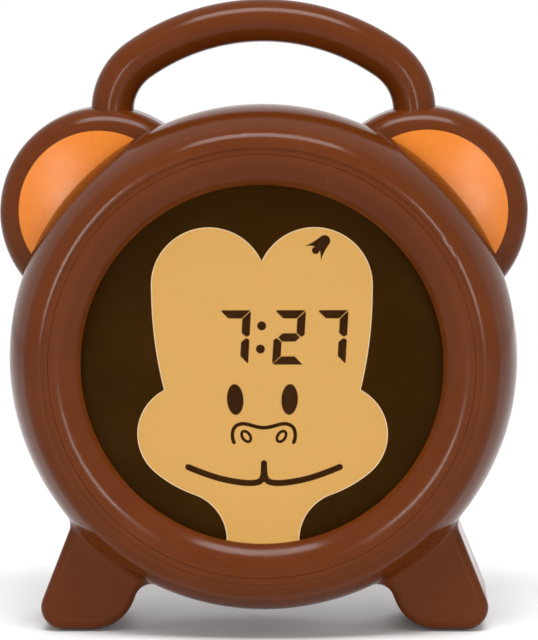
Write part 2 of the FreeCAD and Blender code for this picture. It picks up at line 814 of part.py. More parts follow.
def face_marks():
    """Eyes, nostrils, snout and mouth, a bell and the colon, as thin plates behind the front glass."""
    eye_x, eye_z = number(d.eye_spacing) / 2, -number(d.eye_drop)
    eye_tall, eye_wide = number(d.eye_height) / 2, number(d.eye_width) / 2
    nose_x, nose_z = number(d.nostril_spacing) / 2, -number(d.nostril_drop)
    nostril_long, nostril_wide = 2.1, 1.5
    tilt = number(d.eye_tilt)
    line = number(d.snout_line)
    snout = number(d.snout_width) / 2
    mouth = number(d.mouth_width) / 2
    low = -number(d.mouth_drop)
    shift = 0.35
    faces = []
    for side in (-1, 1):
        faces.append(Part.Face(ring_line(side * eye_x, eye_z, eye_tall, eye_wide, -side * tilt)))
        place = (shift + side * nose_x, nose_z)
        outer = Part.Face(ring_line(*place, nostril_long, nostril_wide, -side * 35))
        inner = Part.Face(ring_line(*place, nostril_long - line * 0.8, nostril_wide - line * 0.8, -side * 35))
        faces.append(outer.cut(inner))
    half_bridge = [(0.95, -1.7), (1, 0.6), (0.92, 2.7), (0.72, 3.6), (0.4, 3.2)]
    bridge = [(-snout * share, nose_z + rise) for share, rise in half_bridge] + [(0, nose_z + 2.5)]
    bridge += [(snout * share, nose_z + rise) for share, rise in reversed(half_bridge)]
    faces.append(Part.Face(stroke([(x + shift, z) for x, z in bridge], line)))
    lips = []
    for side in (-1, 1):
        smile = [(0, low + 5.6), (side * 0.15, low + 2.5), (side * 0.95, low + 0.6),
                 (side * 2.6, low), (side * 6.7, low + 0.1),
                 (side * 12.4, low + 1.2), (side * mouth, low + 4.5)]
        lips.append(Part.Face(stroke([(x + shift, z) for x, z in smile], number(d.mouth_line))))
    for rise in (-1, 1):
        lean = math.tan(math.radians(number(d.digit_lean)))
        z = number(d.clock_row_rise) + rise * 3.3
        faces.append(Part.Face(ring_line(-0.3 + rise * 3.3 * lean, z, 1.28, 1.27, 0)))
    thickness = FreeCAD.Vector(0, 0, number(d.segment_thickness))
    solids = [face.extrude(thickness) for face in faces]
    for pair in (lips, bell_mark()):
        solids.append(pair[0].extrude(thickness).fuse(pair[1].extrude(thickness)).removeSplitter())
    part = doc.addObject("Part::Feature", "face_marks")
    part.Shape = Part.makeCompound(solids)
    part.Placement = FreeCAD.Placement(
        FreeCAD.Vector(0, number(REAR_GLASS - d.layer_gap), number(d.head_centre_height)),
        FreeCAD.Rotation(FreeCAD.Vector(1, 0, 0), 90))
    return part


def bell_mark():
    """A leaning bell: a dome that flares to its lip, with a round clapper below."""
    edges = []
    for side in (1, -1):
        flare = Part.BSplineCurve()
        flare.interpolate([FreeCAD.Vector(side * x, z, 0) for x, z in (
            (0, 3.4), (1.3, 2.7), (1.75, 1), (2.2, -0.9), (3.3, -3.4))])
        edges.append(flare.toShape())
    lip = Part.BSplineCurve()
    lip.interpolate([FreeCAD.Vector(x, z, 0) for x, z in (
        (-3.3, -3.4), (-1.9, -1.9), (0, -1), (1.9, -1.9), (3.3, -3.4))])
    edges.append(lip.toShape())
    bell = Part.Face(Part.Wire(Part.__sortEdges__(edges)))
    clapper = Part.Face(Part.Wire([Part.makeCircle(1.07, FreeCAD.Vector(0, -1.9, 0))]))
    for face in (bell, clapper):
        face.rotate(FreeCAD.Vector(), FreeCAD.Vector(0, 0, 1), -43)
        face.translate(FreeCAD.Vector(16.5, 33.6, 0))
    return [bell, clapper]


def lcd_segments():
    """The dark shapes of the liquid-crystal layer: the time and the animal's features."""
    minutes = d.minutes_offset
    bars = digit("hour", minutes - 15.5, ("top", "upper_right", "lower_right"))
    bars += digit("ten", minutes, ("top", "upper_right", "middle", "lower_left", "bottom"))
    bars += digit("unit", minutes + 12, ("top", "upper_right", "lower_right"))
    group = doc.addObject("Part::Compound", "segment_group")
    group.Links = bars + [face_marks()]
    node(group, "lcd_segments")


def led_places():
    circle = GLASS_RADIUS * 0.6
    places = [(0 * circle, 0 * circle)]
    for step in range(6):
        angle = math.radians(60 * step)
        places.append((circle * math.cos(angle), circle * math.sin(angle)))
    return places


def screw_along(name, x, rise, seat, tip, small=False):
    """A screw driven forwards: its head stands behind the seat and its shank runs to the tip."""
    if small:
        shank, head, height = d.small_screw_diameter, d.small_screw_head_diameter, d.small_screw_head_height
    else:
        shank, head, height = d.screw_diameter, d.screw_head_diameter, d.screw_head_height
    return fuse(name, [
        rod(name + "_shank", shank / 2, tip, seat, x, rise),
        rod(name + "_head", head / 2, seat, seat + height, x, rise),
    ])


def screw_out(name, angle, depth, seat, tip):
    """A screw driven outwards from inside the drum."""
    return fuse(name, [
        spoke(name + "_shank", d.screw_diameter / 2, seat - d.fit_gap - 0.1, tip, angle, depth),
        spoke(name + "_head", d.screw_head_diameter / 2, seat - d.screw_head_height - d.fit_gap,
              seat - d.fit_gap, angle, depth),
    ])


def face_outline():
    """The lit animal face: two round lobes on top, two cheeks, and a neck to the window's edge."""
    return [
        (0, 29.3),
        Arc(16.5, 1),
        (-14.8, 38.9),
        Arc(16.5, 1),
        (-31.2, 21),
        Arc(120, 1),
        (-27.8, -7.3),
        Arc(14.4, 1),
        (-30.2, -31.2),
        Arc(36, 1),
        (-18.8, -37.6),
        Arc(14, -1),
        (-10.4, -52.2),
        (10.4, -52.2),
        Arc(14, -1),
        (18.8, -37.6),
        Arc(36, 1),
        (30.2, -31.2),
        Arc(14.4, 1),
        (27.8, -7.3),
        Arc(120, 1),
        (31.2, 21),
        Arc(16.5, 1),
        (14.8, 38.9),
        Arc(16.5, 1),
    ]


def ear_names(side):
    return "left" if side < 0 else "right"


def ear(side):
    word = ear_names(side)
    x = side * d.ear_offset
    sin_edge = (EAR_RADIUS - d.ear_edge_radius) / (d.ear_dome_radius - d.ear_edge_radius)
    cos_edge = root(1 - sin_edge * sin_edge)
    edge_depth = EAR_FRONT + d.ear_dome_radius - (d.ear_dome_radius - d.ear_edge_radius) * cos_edge
    dome_depth = EAR_FRONT + d.ear_dome_radius - d.ear_dome_radius * cos_edge
    dome_radius = d.ear_dome_radius * sin_edge
    floor = EAR_FRONT + d.insert_thickness
    hollow_front = floor + d.insert_floor_wall
    inner = EAR_RADIUS - d.shell_wall
    hollow_arc = edge_depth - hollow_front + 1.5
    back_arc = d.ear_back_radius
    front_solid = turned(word + "_ear_front_solid", [
        (EAR_SPLIT, 0),
        (EAR_SPLIT, EAR_RADIUS),
        (edge_depth, EAR_RADIUS),
        Arc(d.ear_edge_radius, 1),
        (dome_depth, dome_radius),
        Arc(d.ear_dome_radius, 1),
        (EAR_FRONT, 0),
    ], x, d.ear_rise)
    front_hollow = turned(word + "_ear_front_hollow", [
        (EAR_SPLIT + 1, 0),
        (EAR_SPLIT + 1, inner),
        (hollow_front + hollow_arc, inner),
        Arc(hollow_arc, 1),
        (hollow_front, inner - hollow_arc),
        (hollow_front, 0),
    ], x, d.ear_rise)
    rear_solid = turned(word + "_ear_rear_solid", [
        (EAR_SPLIT, 0),
        (EAR_BACK, 0),
        (EAR_BACK, EAR_RADIUS - back_arc),
        Arc(back_arc, 1),
        (EAR_BACK - back_arc, EAR_RADIUS),
        (EAR_SPLIT, EAR_RADIUS),
    ], x, d.ear_rise)
    wall_back = EAR_BACK - d.shell_wall
    rear_hollow = turned(word + "_ear_rear_hollow", [
        (EAR_SPLIT - 1, 0),
        (wall_back, 0),
        (wall_back, EAR_RADIUS - back_arc),
        Arc(back_arc - d.shell_wall, 1),
        (EAR_BACK - back_arc, inner),
        (EAR_SPLIT - 1, inner),
    ], x, d.ear_rise)
    insert_x = x + side * d.insert_shift_out
    insert_rise = d.ear_rise + d.insert_shift_up
    leg_x = side * d.handle_half_span

    def drum(label):
        return rod(word + label, DRUM_RADIUS + d.fit_gap, FRONT, BACK)

    def leg_bore(label):
        bore = doc.addObject("Part::Cylinder", word + label)
        bind(bore, "Radius", HANDLE_RADIUS + d.fit_gap)
        bind(bore, "Height", d.ear_diameter)
        bind(bore, "Placement.Base.x", leg_x)
        bind(bore, "Placement.Base.y", EAR_SPLIT)
        bind(bore, "Placement.Base.z", up(d.handle_base_height - d.handle_leg - d.moving_gap))
        return bore

    pocket = rod(word + "_insert_pocket", d.insert_diameter / 2 + d.fit_gap, FRONT, floor,
                 insert_x, insert_rise)
    node(cut(word + "_ear_front_cut", front_solid, [
        front_hollow, drum("_drum_a"), leg_bore("_leg_bore_a"), pocket]), word + "_ear_front")
    disc = common(word + "_insert_disc", front_solid, rod(
        word + "_insert_rod", d.insert_diameter / 2, FRONT, floor, insert_x, insert_rise))
    node(cut(word + "_insert_cut", disc, [drum("_drum_b")]), word + "_ear_insert")
    shell = cut(word + "_ear_rear_shell", rear_solid, [rear_hollow, leg_bore("_leg_bore_b")])
    pilot = d.screw_diameter / 2 + d.shaft_gap
    screw_rise = d.handle_base_height - d.handle_leg + d.handle_plug / 2
    boss_front = EAR_SPLIT + HANDLE_RADIUS + d.fit_gap
    parts = [shell, rod(word + "_handle_boss", d.boss_diameter / 2, boss_front, wall_back + 0.5,
                        leg_x, screw_rise)]
    tools = [drum("_drum_c"), rod(word + "_handle_screw_hole", pilot, EAR_SPLIT, EAR_BACK + 1,
                                  leg_x, screw_rise)]
    for index, angle in enumerate(ear_screw_angles(side)):
        parts.append(spoke("%s_ear_boss_%d" % (word, index), d.boss_diameter / 2,
                           DRUM_RADIUS, DRUM_RADIUS + 6, angle, wall_back - 2.6))
        tools.append(spoke("%s_ear_pilot_%d" % (word, index), pilot,
                           DRUM_RADIUS - 1, DRUM_RADIUS + 5, angle, wall_back - 2.6))
    node(cut(word + "_ear_rear_cut", fuse(word + "_ear_rear_body", parts), tools), word + "_ear_rear")


def ear_screw_angles(side):
    for_right = [Size(27, "(27)"), Size(45, "(45)")]
    return for_right if side > 0 else [180 - angle for angle in for_right]


def handle_path(with_legs):
    """The bar's centreline: straight legs, two tight side arcs and one broad top arc, all tangent."""
    side = d.handle_side_radius
    half = d.handle_half_span
    rise = d.handle_rise
    reach = half - side
    broad = (reach * reach + rise * rise - side * side) / (2 * (rise - side))
    share = broad / (broad - side)
    joint_x = reach * share
    joint_rise = rise - broad + (broad - rise) * share
    base = up(d.handle_base_height)
    path = [
        (half, base),
        Arc(side, 1),
        (joint_x, base + joint_rise),
        Arc(broad, 1),
        (-joint_x, base + joint_rise),
        Arc(side, 1),
        (-half, base),
    ]
    if with_legs:
        foot = base - d.handle_leg
        path = [(half, foot)] + path + [(-half, foot)]
    return path


def handle_bar(name, radius, with_legs):
    body = new_body(name)
    spine = drawn(body, name + "_spine", "XZ_Plane", [handle_path(with_legs)], -EAR_SPLIT, closed=False)
    start = up(d.handle_base_height) - (d.handle_leg if with_legs else 0)
    section = drawn(body, name + "_section", "XY_Plane",
                    [Circle(d.handle_half_span, EAR_SPLIT, radius)], start)
    pipe = body.newObject("PartDesign::AdditivePipe", name + "_pipe")
    pipe.Profile = section
    pipe.Spine = (spine, [])
    return body


def handle():
    bar = handle_bar("handle_bar", HANDLE_RADIUS, True)
    hollow = handle_bar("handle_hollow", HANDLE_RADIUS - d.handle_wall, False)
    screw_rise = d.handle_base_height - d.handle_leg + d.handle_plug / 2
    tip = EAR_SPLIT - HANDLE_RADIUS + 2
    seat = EAR_BACK - 3.5
    pilots = [rod("handle_pilot_%s" % ear_names(side), d.screw_diameter / 2 + d.shaft_gap,
                  tip, BACK, side * d.handle_half_span, screw_rise) for side in (-1, 1)]
    reach = HEAD_RADIUS
    rear_half = block("handle_rear_space", (-reach, reach), (EAR_SPLIT, BACK), (0 * reach, reach * 2))
    front_half = block("handle_front_space", (-reach, reach), (FRONT, EAR_SPLIT), (0 * reach, reach * 2))
    drum = rod("handle_drum", DRUM_RADIUS + d.fit_gap, FRONT, BACK)
    tube = cut("handle_tube", bar, [hollow, drum] + pilots)
    node(cut("handle_front_cut", tube, [rear_half]), "handle_front_half")
    node(cut("handle_rear_cut", tube, [front_half]), "handle_rear_half")
    screws = [screw_along("handle_screw_%s" % ear_names(side), side * d.handle_half_span, screw_rise,
                          EAR_BACK + d.fit_gap, tip + 0.5) for side in (-1, 1)]
    node(fuse("handle_screws", screws), "handle_screws")
    return seat


def foot_screw_depths():
    middle = SKIRT_BACK + d.foot_depth / 2
    return [middle - d.foot_screw_spacing / 2, middle + d.foot_screw_spacing / 2]


def foot(side):
    word = ear_names(side)
    angle = -d.foot_screw_angle if side > 0 else d.foot_screw_angle - 180
    leg = slab(word + "_foot_block", [foot_outline(side, 0 * d.shell_wall, FOOT_ROOT)],
               SKIRT_BACK, FOOT_BACK, 0)
    round_at_depth(leg, leg.Group[-1], FOOT_BACK, d.foot_edge_radius, word + "_foot_edge",
                   FOOT_ROOT)
    inside = slab(word + "_foot_inside", [foot_outline(side, d.shell_wall, FOOT_ROOT + 5)],
                  SKIRT_BACK - 1, FOOT_BACK - d.shell_wall, 0)
    shell = cut(word + "_foot_shell", leg, [inside])
    bosses = []
    pilots = []
    for index, depth in enumerate(foot_screw_depths()):
        bosses.append(spoke("%s_foot_boss_%d" % (word, index), d.boss_diameter / 2,
                            DRUM_RADIUS, DRUM_RADIUS + 12, angle, depth))
        pilots.append(spoke("%s_foot_pilot_%d" % (word, index), d.screw_diameter / 2 + d.shaft_gap,
                            DRUM_RADIUS - 1, DRUM_RADIUS + 10, angle, depth))
    middle = SKIRT_BACK + d.foot_depth / 2
    rib = slab(word + "_foot_rib", [foot_outline(side, d.shell_wall / 2, FOOT_ROOT)],
               middle - 1, middle + 1, 0)
    for index, depth in enumerate(foot_screw_depths()):
        bosses.append(common("%s_foot_web_%d" % (word, index), slab(
            "%s_foot_web_slab_%d" % (word, index), [foot_outline(side, d.shell_wall / 2, FOOT_ROOT)],
            depth - 0.8, depth + 0.8, 0), rod("%s_foot_web_rod_%d" % (word, index), DRUM_RADIUS + 12,
                                              FRONT, BACK)))
    recess = pad_block(side, word + "_pad_recess", d.fit_gap, 0 * d.pad_proud)
    part = cut(word + "_foot_cut", fuse(word + "_foot_body", [shell, rib] + bosses), [
        rod(word + "_foot_drum", DRUM_RADIUS + d.fit_gap, FRONT, BACK), recess] + pilots)
    node(part, word + "_foot")
    node(pad_block(side, word + "_pad", 0 * d.fit_gap, 0 * d.pad_proud), word + "_foot_pad")
    return [screw_out("%s_foot_screw_%d" % (word, index), angle, depth, DRUM_INNER_RADIUS,
                      DRUM_RADIUS + 9) for index, depth in enumerate(foot_screw_depths())]


def pad_block(side, name, gap, drop):
    """The rubber strip under one foot, or its recess."""
    lean = d.foot_lean
    toe_run = bottom_tangent(d.foot_toe_radius, 90 - lean)
    heel_run = bottom_tangent(d.foot_heel_radius, 90 + lean)
    toe = d.foot_toe_reach - d.pad_proud * tangent(lean) - toe_run
    heel = d.foot_toe_reach - d.foot_width / cosine(lean) - d.pad_proud * tangent(lean) + heel_run
    middle = side * (toe + heel) / 2
    depth = SKIRT_BACK + d.foot_depth / 2
    half = d.pad_width / 2 + gap
    long_half = d.pad_length / 2
    part = doc.addObject("Part::Box", name)
    bind(part, "Length", 2 * half)
    bind(part, "Width", d.pad_length + 2 * gap - 6)
    bind(part, "Height", d.pad_thickness - drop)
    bind(part, "Placement.Base.x", middle - half)
    bind(part, "Placement.Base.y", depth - long_half - gap + 3)
    return part


def button_places():
    return [(d.button_column + d.button_pitch * column, d.button_row + d.button_pitch * row)
            for row in (0, 1) for column in (0, 1, 2)]


BUTTON_NAMES = ["hour_button", "minute_button", "alarm_set_button",
                "volume_button", "snooze_button", "night_light_button"]


def clamp_screw_places():
    x = -d.speaker_column
    circle = d.clamp_screw_circle / 2
    return [(x + circle * math.cos(math.radians(angle)), d.speaker_row + circle * math.sin(math.radians(angle)))
            for angle in (90, 210, 330)]


def board_screw_places():
    return [(d.button_column - 8, d.button_row - 6), (d.board_radius - 6, 0 * d.board_radius),
            (d.board_radius - 10, d.button_row + 8), (0 * d.board_radius, d.board_radius - 6)]


def bay_extent(grow):
    half = d.bay_length / 2 + grow
    tall = 3 * d.cell_pitch / 2 + 0.3 + grow
    return (-half, half), (-d.bay_middle_drop - tall, tall - d.bay_middle_drop)


def rear_housing():
    inner_arc = d.back_edge_radius - d.drum_wall
    arc_depth = BACK - d.back_edge_radius
    arc_radius = DRUM_RADIUS - d.back_edge_radius
    recess = d.back_recess_diameter / 2
    shell = turned("rear_shell", [
        (DOME_PLANE - 2, DRUM_RADIUS),
        (arc_depth, DRUM_RADIUS),
        Arc(d.back_edge_radius, -1),
        (BACK, arc_radius),
        (BACK, recess + 0.8),
        (PANEL, recess),
        (PANEL, 0),
        (PANEL_INSIDE, 0),
        (PANEL_INSIDE, arc_radius),
        (BACK - d.drum_wall, arc_radius),
        Arc(inner_arc, 1),
        (arc_depth, DRUM_INNER_RADIUS),
        (DOME_PLANE - 2, DRUM_INNER_RADIUS),
    ])
    parts = [shell]
    tools = []
    screw = d.screw_diameter / 2 + d.shaft_gap
    small = d.small_screw_diameter / 2 + d.shaft_gap
    for index, angle in enumerate(screw_angles()):
        x = cosine(angle) * POST_RADIUS
        rise = sine(angle) * POST_RADIUS
        parts.append(rod("post_%d" % index, d.post_diameter / 2, POST_FRONT, BACK - d.drum_wall + 0.6, x, rise))
        tools.append(rod("post_hole_%d" % index, screw, POST_FRONT - 1, HEAD_SEAT + 1, x, rise))
        tools.append(rod("post_well_%d" % index, d.screw_head_diameter / 2 + 0.15, HEAD_SEAT, BACK + 1, x, rise))
    for index, (x, rise) in enumerate(board_screw_places()):
        parts.append(rod("board_post_%d" % index, d.small_boss_diameter / 2, BOARD_BACK, PANEL_INSIDE + 1, x, rise))
        tools.append(rod("board_pilot_%d" % index, small, BOARD_BACK - 1, BOARD_BACK + 5, x, rise))
    clamp_back = PANEL_INSIDE - d.speaker_flange_thickness
    for index, (x, rise) in enumerate(clamp_screw_places()):
        parts.append(rod("clamp_post_%d" % index, d.small_boss_diameter / 2, clamp_back, PANEL_INSIDE + 1, x, rise))
        tools.append(rod("clamp_pilot_%d" % index, small, clamp_back - 1, PANEL_INSIDE + 1.4, x, rise))
    door_inside = PANEL - d.door_thickness
    wide, tall = bay_extent(d.bay_wall)
    parts.append(block("bay_box", wide, (door_inside - d.bay_depth - d.bay_wall, door_inside), tall))
    hinge_rise = tall[0] + d.door_thickness / 2
    hinge_depth = PANEL - d.door_thickness / 2
    pin_hole = d.hinge_pin_diameter / 2 + d.shaft_gap
    for side in (-1, 1):
        inner = wide[1] + d.moving_gap
        outer = inner + d.hinge_pin_length + 1
        span = (inner, outer) if side > 0 else (-outer, -inner)
        parts.append(block("hinge_block_%s" % ear_names(side), span,
                           (PANEL_INSIDE - 2, PANEL_INSIDE + 1), (hinge_rise - 2.4, hinge_rise + 2.4)))
    low, high = bay_extent(0)
    tools.append(block("bay_space", low, (door_inside - d.bay_depth, BACK), high))
    gap = d.moving_gap
    opening_low = (wide[0] - gap, wide[1] + gap)
    tools.append(block("door_space", opening_low, (door_inside, BACK), (tall[0] - gap, tall[1] + gap)))
    reach = wide[1] + gap + d.hinge_pin_length
    pin = doc.addObject("Part::Cylinder", "hinge_pin_hole")
    pin.Placement = FreeCAD.Placement(FreeCAD.Vector(), FreeCAD.Rotation(FreeCAD.Vector(0, 1, 0), 90))
    bind(pin, "Radius", pin_hole)
    bind(pin, "Height", 2 * reach)
    bind(pin, "Placement.Base.x", -reach)
    bind(pin, "Placement.Base.y", hinge_depth)
    bind(pin, "Placement.Base.z", up(hinge_rise))
    tools.append(pin)
    for index, (x, rise) in enumerate(button_places()):
        tools.append(rod("button_hole_%d" % index, d.button_diameter / 2 + d.moving_gap,
                         PANEL_INSIDE - 1, BACK, x, rise))
    slot_half = d.switch_knob_width / 2 + d.moving_gap
    slot_reach = (d.switch_knob_length + d.switch_travel) / 2 + d.moving_gap
    tools.append(block("switch_slot", (d.switch_column - slot_reach, d.switch_column + slot_reach),
                       (PANEL_INSIDE - 1, BACK), (d.switch_row - slot_half, d.switch_row + slot_half)))
    tools.append(rod("socket_window", d.socket_bore / 2 + 1, PANEL_INSIDE - 1, BACK,
                     d.socket_column, -d.socket_drop))
    tools.append(grille())
    for side in (-1, 1):
        for index, angle in enumerate(ear_screw_angles(side)):
            tools.append(spoke("drum_ear_hole_%s_%d" % (ear_names(side), index), screw,
                               DRUM_INNER_RADIUS - 1, DRUM_RADIUS + 1, angle, EAR_BACK - d.shell_wall - 2.6))
        foot_angle = -d.foot_screw_angle if side > 0 else d.foot_screw_angle - 180
        for index, depth in enumerate(foot_screw_depths()):
            tools.append(spoke("drum_foot_hole_%s_%d" % (ear_names(side), index), screw,
                               DRUM_INNER_RADIUS - 1, DRUM_RADIUS + 1, foot_angle, depth))
    return node(cut("rear_cut", fuse("rear_body", parts), tools), "rear_housing")


def grille():
    """Rings of small round holes in front of the speaker's cone."""
    x = -d.speaker_column
    holes = [Circle(x, d.speaker_row, d.grille_hole_diameter / 2)]
    for ring in (1, 2, 3):
        for step in range(6 * ring):
            angle = math.radians(60 * step / ring)
            holes.append(Circle(x + d.grille_pitch * (ring * math.cos(angle)),
                                d.speaker_row + d.grille_pitch * (ring * math.sin(angle)),
                                d.grille_hole_diameter / 2))
    return slab("grille_holes", holes, PANEL_INSIDE - 1, BACK)


def battery_door():
    wide, tall = bay_extent(d.bay_wall)
    inside = PANEL - d.door_thickness
    edge = d.door_thickness / 2
    plate = new_body("door_plate", wide[0], d.head_centre_height)
    sketch = drawn(plate, "door_plate_profile", "YZ_Plane", [[
        (inside, tall[0] + edge),
        Arc(edge, 1),
        (inside + edge, tall[0]),
        Arc(edge, 1),
        (PANEL, tall[0] + edge),
        (PANEL, tall[1]),
        (inside, tall[1]),
    ]])
    pad = plate.newObject("PartDesign::Pad", "door_plate_pad")
    pad.Profile = sketch
    bind(pad, "Length", wide[1] - wide[0])
    reach = wide[1] + d.hinge_pin_length
    pin = doc.addObject("Part::Cylinder", "hinge_pin")
    pin.Placement = FreeCAD.Placement(FreeCAD.Vector(), FreeCAD.Rotation(FreeCAD.Vector(0, 1, 0), 90))
    bind(pin, "Radius", d.hinge_pin_diameter / 2)
    bind(pin, "Height", 2 * reach)
    bind(pin, "Placement.Base.x", -reach)
    bind(pin, "Placement.Base.y", PANEL - edge)
    bind(pin, "Placement.Base.z", up(tall[0] + edge))
    latch = block("door_latch_tab", (0 * edge - 6, 0 * edge + 6), (inside - 1.2, inside + 0.5),
                  (tall[1] - d.bay_wall - 2.2, tall[1] - d.bay_wall - d.moving_gap))
    grip = [block("door_grip_%d" % index, (0 * edge - 8, 0 * edge + 8), (PANEL - 0.5, PANEL + 1),
                  (tall[1] - 5 - 2 * index, tall[1] - 4 - 2 * index)) for index in range(3)]
    return node(cut("door_cut", fuse("door_body", [plate, pin, latch]), grip), "battery_door")


def cells():
    inside = PANEL - d.door_thickness
    depth = inside - 0.5 - d.cell_diameter / 2
    half = d.cell_length / 2
    springs = []
    plates = []
    bay = d.bay_length / 2
    for index in range(3):
        rise = (1 - index) * d.cell_pitch - d.bay_middle_drop
        way = 1 if index % 2 == 0 else -1
        flat_end = -way * (half - 1.6)
        nub_end = way * (half - 1.6)
        shift = way * (bay - d.contact_thickness - half - 0.1)
        body = lying_rod("cell_can_%d" % index, d.cell_diameter / 2, shift + flat_end, shift + nub_end, depth, rise)
        tip = shift + way * half
        nub = lying_rod("cell_nub_%d" % index, 2.7, shift + nub_end, tip, depth, rise)
        node(fuse("cell_whole_%d" % index, [body, nub]), "battery_cell_%d" % (index + 1))
        plate_x = way * bay
        plates.append(block("plate_%d" % index, (plate_x - way * d.contact_thickness, plate_x) if way > 0 else
                            (plate_x, plate_x - way * d.contact_thickness),
                            (depth - 5, depth + 5), (rise - 5, rise + 5)))
        far = -way * (bay - 0.05)
        plates.append(block("spring_plate_%d" % index, (far - d.contact_thickness, far) if way < 0 else
                            (far, far + d.contact_thickness), (depth - 5, depth + 5), (rise - 5, rise + 5)))
        springs.append((far + way * (d.contact_thickness + 0.05), shift + flat_end - way * 0.1, depth, up(rise)))
    node(fuse("contact_plates", plates), "battery_plates")
    node(coil_springs(springs), "battery_springs")


def lying_rod(name, radius, start, end, depth, rise):
    """A cylinder that lies across the clock, whichever end comes first."""
    low, high = (start, end) if number(start) < number(end) else (end, start)
    part = doc.addObject("Part::Cylinder", name)
    part.Placement = FreeCAD.Placement(FreeCAD.Vector(), FreeCAD.Rotation(FreeCAD.Vector(0, 1, 0), 90))
    bind(part, "Radius", radius)
    bind(part, "Height", high - low)
    bind(part, "Placement.Base.x", low)
    bind(part, "Placement.Base.y", depth)
    bind(part, "Placement.Base.z", up(rise))
    return part


def coil_springs(places):
    """The coil springs that press on the flat ends of the cells."""
    wire = number(d.spring_wire) / 2
    radius = number(d.spring_diameter) / 2
    coils = []
    for start, end, depth, height in places:
        low, high = sorted((number(start), number(end)))
        turns = 2.5
        length = high - low - 2 * wire
        helix = Part.makeHelix(length / turns, length, radius)
        section = Part.Wire([Part.makeCircle(wire, FreeCAD.Vector(radius, 0, 0), FreeCAD.Vector(0, 1, 0))])
        coil = Part.Wire(helix.Edges).makePipeShell([section], True, True)
        coil.Placement = FreeCAD.Placement(FreeCAD.Vector(low + wire, number(depth), number(height)),
                                           FreeCAD.Rotation(FreeCAD.Vector(0, 1, 0), 90))
        coils.append(coil)
    part = doc.addObject("Part::Feature", "coil_springs")
    part.Shape = Part.makeCompound(coils)
    return part


def main_board():
    edge = -4 + 0 * d.board_radius
    radius = d.board_radius
    drop = d.socket_drop + 9
    shelf = 3 + 0 * radius
    foot_x = 31.5 + 0 * radius
    board = slab("board_blank", [[
        (edge, shelf),
        (foot_x, shelf),
        (foot_x, -drop),
        (root(radius * radius - drop * drop), -drop),
        Arc(radius, 1),
        (edge, root(radius * radius - edge * edge)),
    ]], BOARD_FRONT, BOARD_BACK)
    small = d.small_screw_diameter / 2 + d.shaft_gap
    places = board_screw_places()
    holes = [rod("board_hole_%d" % index, small, BOARD_FRONT - 1, BOARD_BACK + 1, x, rise)
             for index, (x, rise) in enumerate(places)]
    node(cut("board_drilled", board, holes), "main_board")
    screws = []
    for index, (x, rise) in enumerate(places):
        name = "board_screw_%d" % index
        screws.append(fuse(name, [
            rod(name + "_shank", d.small_screw_diameter / 2, BOARD_FRONT, BOARD_BACK + 4.5, x, rise),
            rod(name + "_head", d.small_screw_head_diameter / 2,
                BOARD_FRONT - d.small_screw_head_height, BOARD_FRONT, x, rise)]))
    node(fuse("board_screws", screws), "board_screws")
    chip_x = d.button_column + d.button_pitch
    chip = block("chip", (chip_x - 7, chip_x + 7), (BOARD_FRONT - 2, BOARD_FRONT),
                 (d.button_row - 2, d.button_row + 12))
    crystal = block("crystal", (chip_x - 6, chip_x + 6), (BOARD_FRONT - 3, BOARD_FRONT),
                    (d.button_row + 18, d.button_row + 22))
    can = rod("capacitor", 3.2 + 0 * radius, BOARD_FRONT - 8, BOARD_FRONT, d.socket_column, -d.socket_drop + 5)
    node(fuse("board_parts", [chip, crystal, can]), "board_components")
    tacts = []
    half = d.tact_width / 2
    for index, (x, rise) in enumerate(button_places()):
        tacts.append(fuse("tact_%d" % index, [
            block("tact_body_%d" % index, (x - half, x + half), (BOARD_BACK, BOARD_BACK + d.tact_height),
                  (rise - half, rise + half)),
            rod("tact_plunger_%d" % index, d.plunger_diameter / 2, BOARD_BACK,
                BOARD_BACK + d.tact_height + d.plunger_height, x, rise)]))
    node(fuse("tacts", tacts), "tact_switches")
    node(block("switch_can", (d.switch_column - 5, d.switch_column + 5), (BOARD_BACK, BOARD_BACK + d.tact_height),
               (d.switch_row - 2.5, d.switch_row + 2.5)), "slide_switch_body")


def buttons():
    flange_back = PANEL_INSIDE - d.moving_gap
    for name, (x, rise) in zip(BUTTON_NAMES, button_places()):
        radius = d.button_diameter / 2
        cap = turned(name + "_cap", [
            (flange_back - d.button_flange_thickness, 0),
            (PANEL + d.button_proud, 0),
            (PANEL + d.button_proud, radius - 0.8),
            Arc(as_size(0.8), 1),
            (PANEL + d.button_proud - 0.8, radius),
            (flange_back, radius),
            (flange_back, radius + d.button_flange),
            (flange_back - d.button_flange_thickness, radius + d.button_flange),
        ], x, rise)
        node(cap, name)


def switch_knob():
    """The slide switch's knob, at the left end of its slot."""
    middle = d.switch_column - d.switch_travel / 2
    half = d.switch_knob_length / 2
    width = d.switch_knob_width / 2
    flange_back = PANEL_INSIDE - d.moving_gap
    stem_front = BOARD_BACK + d.tact_height + d.moving_gap
    parts = [
        block("knob_grip", (middle - half, middle + half), (flange_back - 0.5, PANEL + d.button_proud),
              (d.switch_row - width, d.switch_row + width)),
        block("knob_flange", (middle - half - 2.4, middle + half + 2.4), (flange_back - 1, flange_back),
              (d.switch_row - width - 1.2, d.switch_row + width + 1.2)),
        block("knob_stem", (middle - 1, middle + 1), (stem_front, flange_back - 0.5),
              (d.switch_row - 1, d.switch_row + 1)),
    ]
    groove = [block("knob_groove_%d" % index, (middle + 1.3 * index - 0.3, middle + 1.3 * index + 0.3),
                    (PANEL + d.button_proud - 0.5, BACK), (d.switch_row - 5, d.switch_row + 5))
              for index in (-1, 0, 1)]
    node(cut("knob_cut", fuse("knob_body", parts), groove), "alarm_switch_knob")


